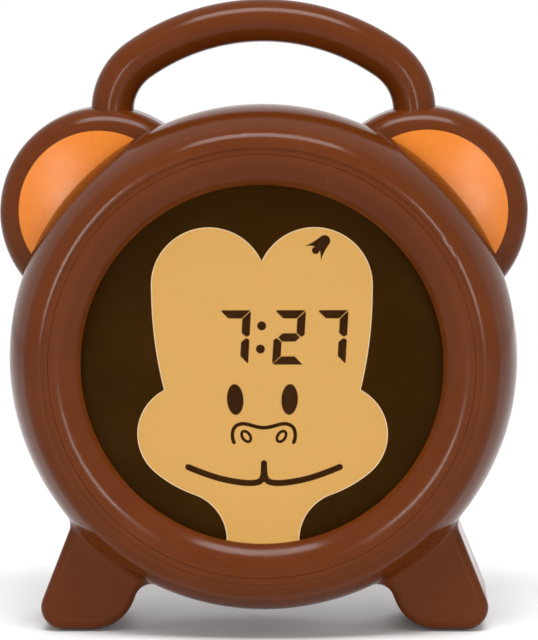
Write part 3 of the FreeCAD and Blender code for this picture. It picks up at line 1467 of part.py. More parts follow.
def speaker():
    x = -d.speaker_column
    radius = d.speaker_diameter / 2
    flange = PANEL_INSIDE - d.speaker_flange_thickness
    node(turned("speaker_body", [
        (PANEL_INSIDE - d.speaker_depth, 0),
        (PANEL_INSIDE - 2.5, 0),
        (PANEL_INSIDE - 2.5, radius * 0.25),
        (PANEL_INSIDE - 0.8, radius * 0.85),
        (PANEL_INSIDE, radius * 0.88),
        (PANEL_INSIDE, radius),
        (flange, radius),
        (flange, radius * 0.92),
        (PANEL_INSIDE - d.speaker_depth * 0.45, radius * 0.6),
        (PANEL_INSIDE - d.speaker_depth, radius * 0.55),
    ], x, d.speaker_row), "speaker")
    ring = turned("clamp_ring", tube_profile(radius - 1, radius + 1.2, flange - d.clamp_thickness, flange),
                  x, d.speaker_row)
    small = d.small_screw_diameter / 2 + d.shaft_gap
    lugs = []
    holes = []
    screws = []
    for index, (lug_x, rise) in enumerate(clamp_screw_places()):
        lugs.append(rod("clamp_lug_%d" % index, d.small_boss_diameter / 2, flange - d.clamp_thickness, flange,
                        lug_x, rise))
        holes.append(rod("clamp_hole_%d" % index, small, flange - 3, flange + 1, lug_x, rise))
        name = "clamp_screw_%d" % index
        seat = flange - d.clamp_thickness
        screws.append(fuse(name, [
            rod(name + "_shank", d.small_screw_diameter / 2, seat, PANEL_INSIDE + 1, lug_x, rise),
            rod(name + "_head", d.small_screw_head_diameter / 2, seat - d.small_screw_head_height, seat,
                lug_x, rise)]))
    node(cut("clamp_cut", fuse("clamp_body", [ring] + lugs), holes), "speaker_clamp")
    node(fuse("clamp_screws", screws), "speaker_screws")


def power_socket():
    x = d.socket_column
    rise = -d.socket_drop
    half = d.socket_width / 2
    tall = d.socket_height / 2
    back = PANEL_INSIDE
    shell = block("socket_shell", (x - half, x + half), (BOARD_BACK, back), (rise - tall, rise + tall))
    nose = rod("socket_nose", d.socket_bore / 2 + 0.7, back - 0.5, PANEL - 0.4, x, rise)
    bore = rod("socket_bore", d.socket_bore / 2, BOARD_BACK + 1, BACK, x, rise)
    body = cut("socket_cut", fuse("socket_body", [shell, nose]), [bore])
    pin = rod("socket_pin", d.socket_pin / 2, BOARD_BACK + 0.5, PANEL_INSIDE, x, rise)
    node(fuse("socket_whole", [body, pin]), "power_socket")


def housing_screws():
    screws = []
    for index, angle in enumerate(screw_angles()):
        screws.append(screw_along("housing_screw_%d" % index, cosine(angle) * POST_RADIUS,
                                  sine(angle) * POST_RADIUS, HEAD_SEAT, LEDGE_BACK + 2))
    node(fuse("housing_screws", screws), "housing_screws")
    ear_screws = []
    for side in (-1, 1):
        for index, angle in enumerate(ear_screw_angles(side)):
            ear_screws.append(screw_out("ear_screw_%s_%d" % (ear_names(side), index), angle,
                                        EAR_BACK - d.shell_wall - 2.6, DRUM_INNER_RADIUS, DRUM_RADIUS + 4.5))
    node(fuse("ear_screws", ear_screws), "ear_screws")


def display_ribbon():
    """A flat flexible lead from the back of the light board to the front of the main board."""
    thick = as_size(0.3)
    bend = as_size(3)
    low = d.button_row - 6
    high = low + 2 * bend
    front = CARRIER_LIP
    back = BOARD_FRONT
    body = new_body("ribbon", d.button_column - 6, d.head_centre_height)
    sketch = drawn(body, "ribbon_profile", "YZ_Plane", [[
        (front, low - 7),
        (front + thick, low - 7),
        (front + thick, low),
        Arc(bend, -1),
        (front + thick + bend, low + bend),
        (back - bend, low + bend),
        Arc(bend + thick, 1),
        (back + thick - thick, low + bend + bend + thick),
        (back + thick - thick, high + 7),
        (back - thick, high + 7),
        (back - thick, high + thick),
        Arc(bend, -1),
        (back - thick - bend, low + bend + thick),
        (front + thick + bend, low + bend + thick),
        Arc(bend + thick, 1),
        (front, low),
    ]])
    pad = body.newObject("PartDesign::Pad", "ribbon_pad")
    pad.Profile = sketch
    bind(pad, "Length", 12)
    return node(body, "display_ribbon")


def build():
    front_housing()
    display_bezel()
    display_stack()
    lcd_segments()
    for side in (-1, 1):
        ear(side)
    handle()
    foot_screws = []
    for side in (-1, 1):
        foot_screws += foot(side)
    node(fuse("foot_screws", foot_screws), "foot_screws")
    rear_housing()
    battery_door()
    cells()
    main_board()
    buttons()
    switch_knob()
    speaker()
    power_socket()
    housing_screws()
    display_ribbon()


def check_and_write():
    doc.recompute()
    for thing in doc.Objects:
        for state in ("Invalid", "Error"):
            if state in thing.State:
                raise RuntimeError("%s (%s) is %s" % (thing.Name, thing.Label, state))
    for part in NODES:
        if part.Shape.isNull() or not part.Shape.isValid():
            raise RuntimeError("%s has no good shape" % part.Label)
    os.makedirs("parts", exist_ok=True)
    for part in NODES:
        part.Shape.exportStep("parts/%s.step" % part.Label)
        print("%-24s solids %2d  volume %10.1f mm3" % (
            part.Label, len(part.Shape.Solids), part.Shape.Volume))


build()
check_and_write()
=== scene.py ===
import math

import bmesh
import bpy
from mathutils import Matrix, Vector


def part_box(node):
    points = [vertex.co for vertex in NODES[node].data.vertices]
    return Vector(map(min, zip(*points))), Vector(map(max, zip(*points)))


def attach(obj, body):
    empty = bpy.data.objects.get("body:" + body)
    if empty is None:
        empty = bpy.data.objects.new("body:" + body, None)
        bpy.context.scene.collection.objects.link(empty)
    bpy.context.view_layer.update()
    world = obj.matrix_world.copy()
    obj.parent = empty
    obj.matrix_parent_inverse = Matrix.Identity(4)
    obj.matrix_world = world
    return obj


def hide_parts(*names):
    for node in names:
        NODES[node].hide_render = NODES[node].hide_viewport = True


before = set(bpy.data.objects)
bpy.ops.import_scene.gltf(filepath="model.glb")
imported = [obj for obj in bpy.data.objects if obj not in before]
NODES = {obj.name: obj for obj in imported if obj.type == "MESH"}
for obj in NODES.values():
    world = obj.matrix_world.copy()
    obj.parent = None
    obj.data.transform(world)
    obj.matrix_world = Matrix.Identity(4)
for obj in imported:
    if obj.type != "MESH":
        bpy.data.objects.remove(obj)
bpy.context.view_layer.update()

# Sizes of the clock, in metres
HEAD_HEIGHT = 0.0788
MM = 0.001

# Sizes of the small pieces that are made here, in millimetres
SCREW_CIRCLE = 62
HANDLE_HALF_SPAN = 43.3
SCREW_HEAD_HEIGHT = 2.0
SCREW_HEAD_RADIUS = 2.6
SCREW_SHANK_RADIUS = 1.5
LONG_SCREW_LENGTH = 17.6
EDGE_LINE_DEPTH = -21.73
EDGE_LINE_RADIUS = 0.13
SIGN_SINK = 0.1
SIGN_RISE = 0.16

# The photograph's frame, and the head's centre in it, in its own pixels
PHOTO_WIDTH = 538
PHOTO_HEIGHT = 640
HEAD_COLUMN = 263.3
HEAD_ROW = 358.0

# Colours, as linear red, green and blue
BROWN = (0.097, 0.0205, 0.0022)
BROWN_DEEP = (0.074, 0.0150, 0.0015)
ORANGE = (0.56, 0.155, 0.012)
ORANGE_DEEP = (0.50, 0.135, 0.010)
AMBER = (0.700, 0.386, 0.107)
AMBER_EDGE = (0.66, 0.345, 0.085)
DISPLAY_DARK = (0.0205, 0.0078, 0.0004)
SEGMENT_DARK = (0.0225, 0.0065, 0.0012)


class Tone:
    """A value that changes over a surface; sums and products of tones add their own nodes."""

    def __init__(self, tree, socket):
        self.tree = tree
        self.socket = socket

    def maths(self, operation, *values):
        node = self.tree.nodes.new("ShaderNodeMath")
        node.operation = operation
        for socket, value in zip(node.inputs, values):
            feed(self.tree, socket, value)
        return Tone(self.tree, node.outputs[0])

    def __add__(self, other):
        return self.maths("ADD", self, other)

    def __radd__(self, other):
        return self.maths("ADD", other, self)

    def __sub__(self, other):
        return self.maths("SUBTRACT", self, other)

    def __rsub__(self, other):
        return self.maths("SUBTRACT", other, self)

    def __mul__(self, other):
        return self.maths("MULTIPLY", self, other)

    def __rmul__(self, other):
        return self.maths("MULTIPLY", other, self)

    def __truediv__(self, other):
        return self.maths("DIVIDE", self, other)

    def absolute(self):
        return self.maths("ABSOLUTE", self)

    def wave(self):
        return self.maths("SINE", self)


def feed(tree, socket, value):
    """Link a tone to a socket, or set the socket's own value."""
    if isinstance(value, Tone):
        tree.links.new(value.socket, socket)
    elif isinstance(value, tuple) and len(value) == 3 and socket.type == "RGBA":
        socket.default_value = (*value, 1)
    else:
        socket.default_value = value


class Finish:
    """One material, built from the shader's own sockets and patterns on the piece's own coordinates."""

    def __init__(self, name, **constants):
        self.material = bpy.data.materials.new(name)
        self.material.use_nodes = True
        self.tree = self.material.node_tree
        self.shader = self.tree.nodes["Principled BSDF"]
        self.output = self.tree.nodes["Material Output"]
        self.place = self.node("ShaderNodeTexCoord", {}, {}, "Object")
        self.set(**constants)

    def set(self, **values):
        for name, value in values.items():
            feed(self.tree, self.shader.inputs[name.replace("_", " ").title().replace("Ior", "IOR")], value)

    def node(self, kind, settings, sockets, output=0):
        node = self.tree.nodes.new(kind)
        for name, value in settings.items():
            setattr(node, name, value)
        for name, value in sockets.items():
            feed(self.tree, node.inputs[name], value)
        return Tone(self.tree, node.outputs[output])

    def stretched(self, scale, turn=(0, 0, 0), shift=(0, 0, 0)):
        return self.node("ShaderNodeMapping", {}, {
            "Vector": self.place, "Scale": scale, "Rotation": turn, "Location": shift})

    def noise(self, scale, detail=3.0, rough=0.55, place=None):
        return self.node("ShaderNodeTexNoise", {}, {
            "Vector": place or self.place, "Scale": scale, "Detail": detail, "Roughness": rough})

    def cells(self, scale):
        return self.node("ShaderNodeTexVoronoi", {"feature": "F1"}, {
            "Vector": self.place, "Scale": scale}, "Distance")

    def level(self, value, low, high):
        """A tone that goes from 0 to 1 between two levels of another."""
        return self.node("ShaderNodeMapRange", {"interpolation_type": "SMOOTHSTEP"}, {
            "Value": value, "From Min": low, "From Max": high}, "Result")

    def blend(self, share, first, second):
        return self.node("ShaderNodeMix", {"data_type": "RGBA", "blend_type": "MIX"}, {
            0: share, 6: first, 7: second}, 2)

    def axis(self, index):
        return self.node("ShaderNodeSeparateXYZ", {}, {0: self.place}, index)

    def bump(self, height, depth, strength=1.0):
        return self.node("ShaderNodeBump", {}, {"Height": height, "Distance": depth, "Strength": strength})

    def radius(self, height=HEAD_HEIGHT, side=0.0):
        """Distance from the head's axis, in metres."""
        place = self.stretched((1, 0, 1), shift=(-side, 0, -height))
        return self.node("ShaderNodeVectorMath", {"operation": "LENGTH"}, {0: place}, "Value")


def moulded(name, colour, deep, gloss=0.15, coat=0.03, specular=0.11):
    """Glossy moulded plastic: faint flow marks, fine orange peel, a little dust and handling haze."""
    finish = Finish(name, ior=1.5, coat_roughness=0.16, specular_ior_level=specular)
    flow = finish.noise(1.0, 4, 0.6, finish.stretched((18, 18, 60)))
    haze = finish.level(finish.noise(55, 5, 0.65), 0.45, 0.8)
    specks = finish.level(finish.cells(900), 0.10, 0.05) * finish.level(finish.noise(120, 2), 0.55, 0.62)
    hairs = finish.noise(1.0, 2, 0.5, finish.stretched((900, 60, 90), (0.4, 0.2, 0.9)))
    scratch = finish.level(hairs, 0.70, 0.73) * finish.level(finish.noise(26, 2), 0.5, 0.65)
    shade = finish.blend(flow, deep, colour)
    shade = finish.blend(haze * 0.12, shade, tuple(min(1, part * 1.5 + 0.02) for part in colour))
    shade = finish.blend(specks * 0.35, shade, (0.32, 0.28, 0.24))
    peel = finish.noise(420, 2, 0.5) * 0.7 + finish.noise(1500, 2, 0.5) * 0.3
    finish.set(base_color=shade, roughness=gloss + haze * 0.07 + specks * 0.3 + scratch * 0.12,
               coat_weight=coat - haze * 0.06,
               normal=finish.bump(peel - scratch * 0.6, 0.000035, 0.8))
    return finish.material


def satin(name, colour, deep, rough=0.42, grain=1400):
    """Matt moulded plastic with an even fine spark-eroded grain."""
    finish = Finish(name, ior=1.48)
    cloud = finish.noise(70, 4, 0.6)
    pits = finish.noise(grain, 3, 0.6)
    shade = finish.blend(cloud * 0.8, deep, colour)
    shade = finish.blend(finish.level(pits, 0.62, 0.75) * 0.25, shade, deep)
    finish.set(base_color=shade, roughness=rough + (cloud - 0.5) * 0.12 + pits * 0.05,
               normal=finish.bump(pits, 0.00006, 0.7))
    return finish.material


def back_panel_finish():
    """The drum's glossy brown, with an eroded grain inside the recess of its back."""
    finish = Finish("brown_back_shell", ior=1.5, coat_roughness=0.16, specular_ior_level=0.10)
    flow = finish.noise(1.0, 4, 0.6, finish.stretched((18, 60, 18)))
    haze = finish.level(finish.noise(50, 5, 0.65), 0.45, 0.8)
    grain = finish.noise(1300, 3, 0.6)
    radius = finish.radius()
    depth = finish.axis(1)
    panel = finish.level(radius, 0.0582, 0.0578) * finish.level(depth, 0.0274, 0.0277)
    shade = finish.blend(flow, BROWN_DEEP, BROWN)
    shade = finish.blend(haze * 0.12, shade, (0.21, 0.065, 0.03))
    shade = finish.blend(panel * finish.level(grain, 0.55, 0.7) * 0.35, shade, (0.17, 0.05, 0.02))
    peel = finish.noise(420, 2, 0.5)
    finish.set(base_color=shade, roughness=0.20 + haze * 0.07 + panel * 0.25,
               coat_weight=0.12 - panel * 0.12,
               normal=finish.bump(peel * 0.35 + panel * grain * 1.8, 0.00006, 0.8))
    return finish.material


def rubber(name):
    finish = Finish(name, ior=1.45)
    grain = finish.noise(1600, 3, 0.7)
    cloud = finish.noise(90, 4, 0.6)
    dust = finish.level(finish.noise(300, 4, 0.7), 0.55, 0.75)
    rows = finish.level((finish.axis(1) * 2 * math.pi / 0.0024).wave(), -0.2, 0.5)
    shade = finish.blend(cloud, (0.012, 0.011, 0.010), (0.030, 0.027, 0.025))
    shade = finish.blend(dust * 0.2, shade, (0.16, 0.14, 0.12))
    finish.set(base_color=shade, roughness=0.72 + cloud * 0.15,
               normal=finish.bump(rows * 0.7 + grain * 0.3, 0.00012, 0.8))
    return finish.material


def metal(name, colour, rough=0.28, grain=(30, 700, 700), spots=0.3):
    """Plated steel: drawn grain, a little tarnish and fingermarks."""
    finish = Finish(name, metallic=1.0)
    lines = finish.noise(1.0, 4, 0.6, finish.stretched(grain))
    tarnish = finish.level(finish.noise(260, 5, 0.65), 0.5, 0.85)
    dull = tuple(part * 0.55 for part in colour)
    shade = finish.blend(lines * 0.5, colour, dull)
    shade = finish.blend(tarnish * spots, shade, (0.25, 0.20, 0.14))
    finish.set(base_color=shade, roughness=rough + lines * 0.12 + tarnish * 0.2,
               normal=finish.bump(lines, 0.00003, 0.6))
    return finish.material


def board(name):
    """Green solder mask over copper tracks, with plated holes."""
    finish = Finish(name, ior=1.5, coat_weight=0.35)
    tracks = finish.node("ShaderNodeTexBrick", {"offset": 0.5, "squash": 1.0}, {
        "Vector": finish.stretched((1, 1, 1), (math.pi / 2, 0, 0)), "Scale": 90.0,
        "Mortar Size": 0.06, "Mortar Smooth": 0.1, "Brick Width": 0.7, "Row Height": 0.22}, "Fac")
    holes = finish.level(finish.cells(230), 0.22, 0.18)
    cloud = finish.noise(60, 3)
    shade = finish.blend(tracks, (0.008, 0.085, 0.028), (0.018, 0.16, 0.055))
    shade = finish.blend(cloud * 0.3, shade, (0.006, 0.06, 0.022))
    shade = finish.blend(holes, shade, (0.62, 0.60, 0.52))
    finish.set(base_color=shade, roughness=0.32 - holes * 0.1, metallic=holes * 0.8,
               normal=finish.bump(tracks + holes * 0.5, 0.00004, 0.8))
    return finish.material


def lens_finish():
    """Clear moulded acrylic: see-through in front of the display, with faint smears on its face."""
    finish = Finish("clear_acrylic", base_color=(0.9, 0.9, 0.88), ior=1.49)
    clear = finish.tree.nodes.new("ShaderNodeBsdfTransparent")
    clear.inputs["Color"].default_value = (1, 1, 1, 1)
    gloss = finish.tree.nodes.new("ShaderNodeBsdfGlossy")
    gloss.inputs["Color"].default_value = (1, 1, 1, 1)
    join = finish.tree.nodes.new("ShaderNodeMixShader")
    smear = finish.level(finish.noise(38, 5, 0.65), 0.5, 0.85)
    feed(finish.tree, gloss.inputs["Roughness"], 0.03)
    sheen = finish.node("ShaderNodeFresnel", {}, {"IOR": 1.3})
    feed(finish.tree, join.inputs[0], sheen * 0.05 + smear * 0.001)
    finish.tree.links.new(clear.outputs[0], join.inputs[1])
    finish.tree.links.new(gloss.outputs[0], join.inputs[2])
    finish.tree.links.new(join.outputs[0], finish.output.inputs[0])
    return finish.material


def glass_finish():
    """The display's front glass, which lets the lit layer behind it show."""
    finish = Finish("thin_display_glass", roughness=0.3, ior=1.1, specular_ior_level=0.0)
    haze = finish.noise(80, 4)
    finish.set(base_color=finish.blend(haze, (0.30, 0.20, 0.08), (0.26, 0.17, 0.06)),
               alpha=haze * 0.012)
    return finish.material


def lit_glass_finish():
    """The amber layer: even light, a little dimmer at the rim, with a fine diffusing grain."""
    finish = Finish("amber_backlight", base_color=(0.02, 0.012, 0.004), roughness=0.5,
                    specular_ior_level=0.05, emission_strength=1.0)
    radius = finish.radius()
    rim = finish.level(radius, 0.030, 0.056)
    cloud = finish.noise(30, 3)
    grain = finish.noise(2600, 2, 0.7)
    glow = finish.blend(rim * 0.5 + (cloud - 0.5) * 0.3, AMBER, AMBER_EDGE)
    glow = finish.blend(finish.level(grain, 0.5, 0.8) * 0.10, glow, (0.74, 0.42, 0.12))
    finish.set(emission_color=glow)
    return finish.material


def ink(name, colour, lighter):
    """A dark printed or switched layer behind the lens."""
    finish = Finish(name, ior=1.4, specular_ior_level=0.0)
    cloud = finish.noise(45, 4)
    grain = finish.noise(1900, 2, 0.6)
    shade = finish.blend(finish.level(cloud, 0.35, 0.8) * 0.5 + finish.level(grain, 0.6, 0.8) * 0.3,
                         colour, lighter)
    finish.set(base_color=shade, roughness=0.6 + grain * 0.15)
    return finish.material


def milky(name):
    finish = Finish(name, ior=1.49, emission_strength=0.35)
    cloud = finish.noise(80, 4)
    dots = finish.level(finish.cells(700), 0.35, 0.25)
    shade = finish.blend(cloud, (0.78, 0.60, 0.34), (0.9, 0.72, 0.42))
    finish.set(base_color=shade, emission_color=finish.blend(dots * 0.5, shade, (0.95, 0.7, 0.3)),
               roughness=0.35 + cloud * 0.1, normal=finish.bump(dots, 0.00003, 0.5))
    return finish.material


def sleeve(name):
    """A plain battery sleeve: a dark barrel, a pale band near one end and bare metal at the ends."""
    finish = Finish(name, ior=1.5)
    along = finish.axis(0).absolute()
    band = finish.level(along, 0.0165, 0.0168) * finish.level(along, 0.0215, 0.0212)
    bare = finish.level(along, 0.0238, 0.0240)
    scuff = finish.level(finish.noise(1.0, 4, 0.6, finish.stretched((40, 500, 500))), 0.55, 0.75)
    shade = finish.blend(band, (0.030, 0.031, 0.035), (0.42, 0.24, 0.08))
    shade = finish.blend(scuff * 0.2, shade, (0.22, 0.22, 0.23))
    shade = finish.blend(bare, shade, (0.60, 0.60, 0.59))
    finish.set(base_color=shade, roughness=0.30 + scuff * 0.2, metallic=bare * 0.9 + scuff * 0.1,
               normal=finish.bump(scuff * -1.0 + band * 0.2, 0.00003, 0.6))
    return finish.material


def cone_paper():
    """The speaker's pressed paper, with rings round its cone."""
    finish = Finish("speaker_paper", ior=1.4)
    radius = finish.radius(HEAD_HEIGHT + 0.026, -0.026)
    rings = (radius * 2 * math.pi / 0.0022).wave() * 0.5 + 0.5
    fibre = finish.noise(1.0, 4, 0.7, finish.stretched((900, 900, 300)))
    shade = finish.blend(fibre, (0.014, 0.013, 0.013), (0.05, 0.047, 0.044))
    finish.set(base_color=shade, roughness=0.8 - rings * 0.1,
               normal=finish.bump(rings * 0.6 + fibre * 0.4, 0.00015, 0.8))
    return finish.material


def ribbon_finish():
    """A flat lead: copper tracks seen through pale film."""
    finish = Finish("flat_lead_film", ior=1.5)
    tracks = finish.level((finish.axis(0) * 2 * math.pi / 0.001).wave(), -0.1, 0.3)
    crease = finish.noise(300, 3)
    shade = finish.blend(tracks, (0.62, 0.56, 0.42), (0.72, 0.36, 0.14))
    finish.set(base_color=shade, roughness=0.34 + crease * 0.15,
               normal=finish.bump(tracks, 0.00004, 0.6))
    return finish.material


def painted_edge_highlight_finish():
    """A painted highlight for the mask film's cut edge: a self-glowing pale colour, a little uneven along its
    length.
    """
    # Emission paints the highlight here; the edge gives no light of its own.
    finish = Finish("painted_edge_highlight", roughness=0.5, emission_strength=0.85)
    cloud = finish.noise(160, 3)
    glow = finish.blend(cloud, (0.80, 0.56, 0.30), (0.90, 0.70, 0.46))
    finish.set(base_color=(0.1, 0.07, 0.04), emission_color=glow)
    return finish.material


BROWN_HOUSING = moulded("glossy_brown_housing", BROWN, BROWN_DEEP)
BROWN_PLASTIC = moulded("glossy_brown_plastic", BROWN, BROWN_DEEP, 0.16)
ORANGE_PLASTIC = moulded("glossy_orange_insert", ORANGE, ORANGE_DEEP, 0.26, 0.04, 0.22)
BACK_SHELL = back_panel_finish()
TAN_BUTTON = satin("tan_button_plastic", (0.52, 0.29, 0.12), (0.42, 0.22, 0.085), 0.36)
ORANGE_BUTTON = satin("orange_button_plastic", ORANGE, ORANGE_DEEP, 0.34)
WHITE_PLASTIC = satin("white_carrier_plastic", (0.72, 0.70, 0.66), (0.60, 0.58, 0.54), 0.4)
BLACK_PLASTIC = satin("black_component_plastic", (0.030, 0.030, 0.032), (0.014, 0.014, 0.015), 0.45)
RUBBER = rubber("foot_pad_rubber")
STEEL = metal("plated_screw_steel", (0.62, 0.62, 0.62))
CLAMP_STEEL = metal("pressed_clamp_steel", (0.52, 0.52, 0.52), 0.34, (60, 60, 600), 0.4)
NICKEL = metal("nickel_contact", (0.74, 0.72, 0.68), 0.18, (200, 200, 40), 0.2)
SPRING = metal("spring_wire_steel", (0.70, 0.70, 0.68), 0.2, (900, 900, 900), 0.15)
BOARD = board("green_circuit_board")
LENS = lens_finish()
FRONT_GLASS = glass_finish()
LIT_GLASS = lit_glass_finish()
MASK = ink("dark_mask_film", DISPLAY_DARK, (0.034, 0.0135, 0.0022))
SEGMENT = ink("dark_segment_film", SEGMENT_DARK, (0.036, 0.012, 0.0028))
DIFFUSER = milky("amber_diffuser")
LED = milky("amber_led_lens")
SLEEVE = sleeve("battery_sleeve")
PAPER = cone_paper()
RIBBON = ribbon_finish()

FINISHES = {
    "front_housing": BROWN_HOUSING, "display_bezel": BROWN_PLASTIC, "rear_housing": BACK_SHELL,
    "left_ear_front": BROWN_PLASTIC, "right_ear_front": BROWN_PLASTIC,
    "left_ear_rear": BROWN_PLASTIC, "right_ear_rear": BROWN_PLASTIC,
    "left_ear_insert": ORANGE_PLASTIC, "right_ear_insert": ORANGE_PLASTIC,
    "handle_front_half": BROWN_PLASTIC, "handle_rear_half": BROWN_PLASTIC,
    "left_foot": BROWN_PLASTIC, "right_foot": BROWN_PLASTIC,
    "left_foot_pad": RUBBER, "right_foot_pad": RUBBER,
    "display_lens": LENS, "face_mask": MASK, "lcd_front_glass": FRONT_GLASS,
    "lcd_rear_glass": LIT_GLASS, "lcd_segments": SEGMENT, "light_diffuser": DIFFUSER,
    "light_board": BOARD, "light_leds": LED, "display_carrier": WHITE_PLASTIC,
    "display_screws": STEEL, "handle_screws": STEEL, "foot_screws": STEEL, "ear_screws": STEEL,
    "housing_screws": STEEL, "board_screws": STEEL, "speaker_screws": STEEL,
    "battery_door": BROWN_PLASTIC, "battery_cell_1": SLEEVE, "battery_cell_2": SLEEVE,
    "battery_cell_3": SLEEVE, "battery_plates": NICKEL, "battery_springs": SPRING,
    "main_board": BOARD, "board_components": BLACK_PLASTIC, "tact_switches": BLACK_PLASTIC,
    "slide_switch_body": BLACK_PLASTIC, "hour_button": TAN_BUTTON, "minute_button": TAN_BUTTON,
    "alarm_set_button": TAN_BUTTON, "volume_button": TAN_BUTTON, "snooze_button": ORANGE_BUTTON,
    "night_light_button": ORANGE_BUTTON, "alarm_switch_knob": TAN_BUTTON, "speaker": PAPER,
    "speaker_clamp": CLAMP_STEEL, "power_socket": BLACK_PLASTIC, "display_ribbon": RIBBON,
}


def dress(name, material):
    """Give a CAD node its finish in each of its material slots."""
    slots = NODES[name].material_slots
    if not slots:
        NODES[name].data.materials.append(material)
    for slot in slots:
        slot.material = material


for node_name, node_finish in FINISHES.items():
    dress(node_name, node_finish)


def floor():
    """A plain pale floor that fades into the white surround well beyond the clock's shadow."""
    mesh = bpy.data.meshes.new("studio_floor")
    sheet = bmesh.new()
    bmesh.ops.create_circle(sheet, cap_ends=True, segments=96, radius=1.6)
    sheet.to_mesh(mesh)
    sheet.free()
    piece = bpy.data.objects.new("studio_floor", mesh)
    piece.location = (0, 0, -0.0001)
    bpy.context.scene.collection.objects.link(piece)
    finish = Finish("pale_floor", base_color=(0.86, 0.86, 0.86), roughness=0.6)
    away = finish.node("ShaderNodeVectorMath", {"operation": "LENGTH"}, {0: finish.place}, "Value")
    camera_ray = finish.node("ShaderNodeLightPath", {}, {}, "Is Camera Ray")
    mottle = finish.noise(6, 3)
    finish.set(base_color=finish.blend(mottle * 0.1, (0.86, 0.86, 0.86), (0.83, 0.83, 0.83)),
               alpha=1 - finish.level(away, 0.16, 0.5) * camera_ray)
    mesh.materials.append(finish.material)


def surround():
    """White to the camera and to the clock's mirror and glass reflections; a plain grey room otherwise."""
    world = bpy.data.worlds.new("studio_room")
    bpy.context.scene.world = world
    world.use_nodes = True
    tree = world.node_tree
    backdrop = tree.nodes["Background"]
    backdrop.inputs["Color"].default_value = (1, 1, 1, 1)
    backdrop.inputs["Strength"].default_value = 1.0
    room = tree.nodes.new("ShaderNodeBackground")
    room.inputs["Color"].default_value = (0.29, 0.29, 0.29, 1)
    room.inputs["Strength"].default_value = 1.0
    path = tree.nodes.new("ShaderNodeLightPath")
    seen = Tone(tree, path.outputs["Is Camera Ray"]) + Tone(tree, path.outputs["Is Glossy Ray"])
    seen = seen + Tone(tree, path.outputs["Is Transmission Ray"])
    join = tree.nodes.new("ShaderNodeMixShader")
    feed(tree, join.inputs[0], seen)
    tree.links.new(room.outputs[0], join.inputs[1])
    tree.links.new(backdrop.outputs[0], join.inputs[2])
    tree.links.new(join.outputs[0], tree.nodes["World Output"].inputs[0])


def softbox(name, place, target, width, height, power, mirrored=True):
    lamp = bpy.data.lights.new(name, "AREA")
    lamp.shape = "RECTANGLE"
    lamp.size = width
    lamp.size_y = height
    lamp.energy = power
    piece = bpy.data.objects.new(name, lamp)
    away = Vector(target) - Vector(place)
    piece.matrix_world = Matrix.Translation(place) @ away.to_track_quat("-Z", "Y").to_matrix().to_4x4()
    piece.visible_glossy = mirrored
    bpy.context.scene.collection.objects.link(piece)


def camera():
    """The photograph's view: about a metre away, a little above the head and just right of its axis."""
    lens = bpy.data.cameras.new("photo_view")
    lens.sensor_fit = "HORIZONTAL"
    lens.sensor_width = 36
    lens.lens = 245.9
    lens.shift_x = (PHOTO_WIDTH / 2 - HEAD_COLUMN) / PHOTO_WIDTH
    lens.shift_y = (HEAD_ROW - PHOTO_HEIGHT / 2) / PHOTO_WIDTH
    lens.clip_start = 0.05
    piece = bpy.data.objects.new("photo_view", lens)
    target = Vector((0, -0.009, HEAD_HEIGHT))
    rise, turn = math.radians(8), math.radians(1.5)
    away = Vector((math.sin(turn) * math.cos(rise), -math.cos(turn) * math.cos(rise), math.sin(rise)))
    look = (-away).to_track_quat("-Z", "Y").to_matrix().to_4x4()
    roll = Matrix.Rotation(math.radians(-0.3), 4, "Z")
    piece.matrix_world = Matrix.Translation(target + away * 1.05) @ look @ roll
    bpy.context.scene.collection.objects.link(piece)
    bpy.context.scene.camera = piece


def new_piece(name, mesh, material, body="clock", instead=()):
    """A finished mesh becomes a piece that rides on one body of the clock."""
    mesh.name = name
    mesh.materials.clear()
    mesh.materials.append(material)
    piece = bpy.data.objects.new(name, mesh)
    bpy.context.scene.collection.objects.link(piece)
    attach(piece, body)
    if instead:
        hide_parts(*instead)
    return piece


def arc_points(start, end, radius, turn, steps=14):
    """Points along the short arc from one corner to the next; turn is 1 where its centre is to the left."""
    chord = end - start
    reach = math.sqrt(max(radius ** 2 - chord.length_squared / 4, 0)) * turn
    centre = (start + end) / 2 + Vector((-chord.y, chord.x)).normalized() * reach
    first = math.atan2(start.y - centre.y, start.x - centre.x)
    last = math.atan2(end.y - centre.y, end.x - centre.x)
    sweep = (last - first + math.pi) % (2 * math.pi) - math.pi
    return [centre + Vector((math.cos(first + sweep * step / steps), math.sin(first + sweep * step / steps)))
            * radius for step in range(steps)]


def face_loop():
    """The edge of the lit face, anticlockwise from the notch between its two lobes, in millimetres."""
    half = [((0, 29.3), 16.5, 1), ((-14.8, 38.9), 16.5, 1), ((-31.2, 21), 120, 1), ((-27.8, -7.3), 14.4, 1),
            ((-30.2, -31.2), 36, 1), ((-18.8, -37.6), 14, -1), ((-10.4, -52.2), 0, 1)]
    corners = [(Vector(corner), radius, turn) for corner, radius, turn in half]
    other = []
    for index in range(len(half) - 1, 0, -1):
        corner = Vector((-half[index][0][0], half[index][0][1]))
        other.append((corner, half[index - 1][1], half[index - 1][2]))
    corners += other
    points = []
    for index, (corner, radius, turn) in enumerate(corners):
        following = corners[(index + 1) % len(corners)][0]
        points += arc_points(corner, following, radius, turn) if radius else [corner]
    return points


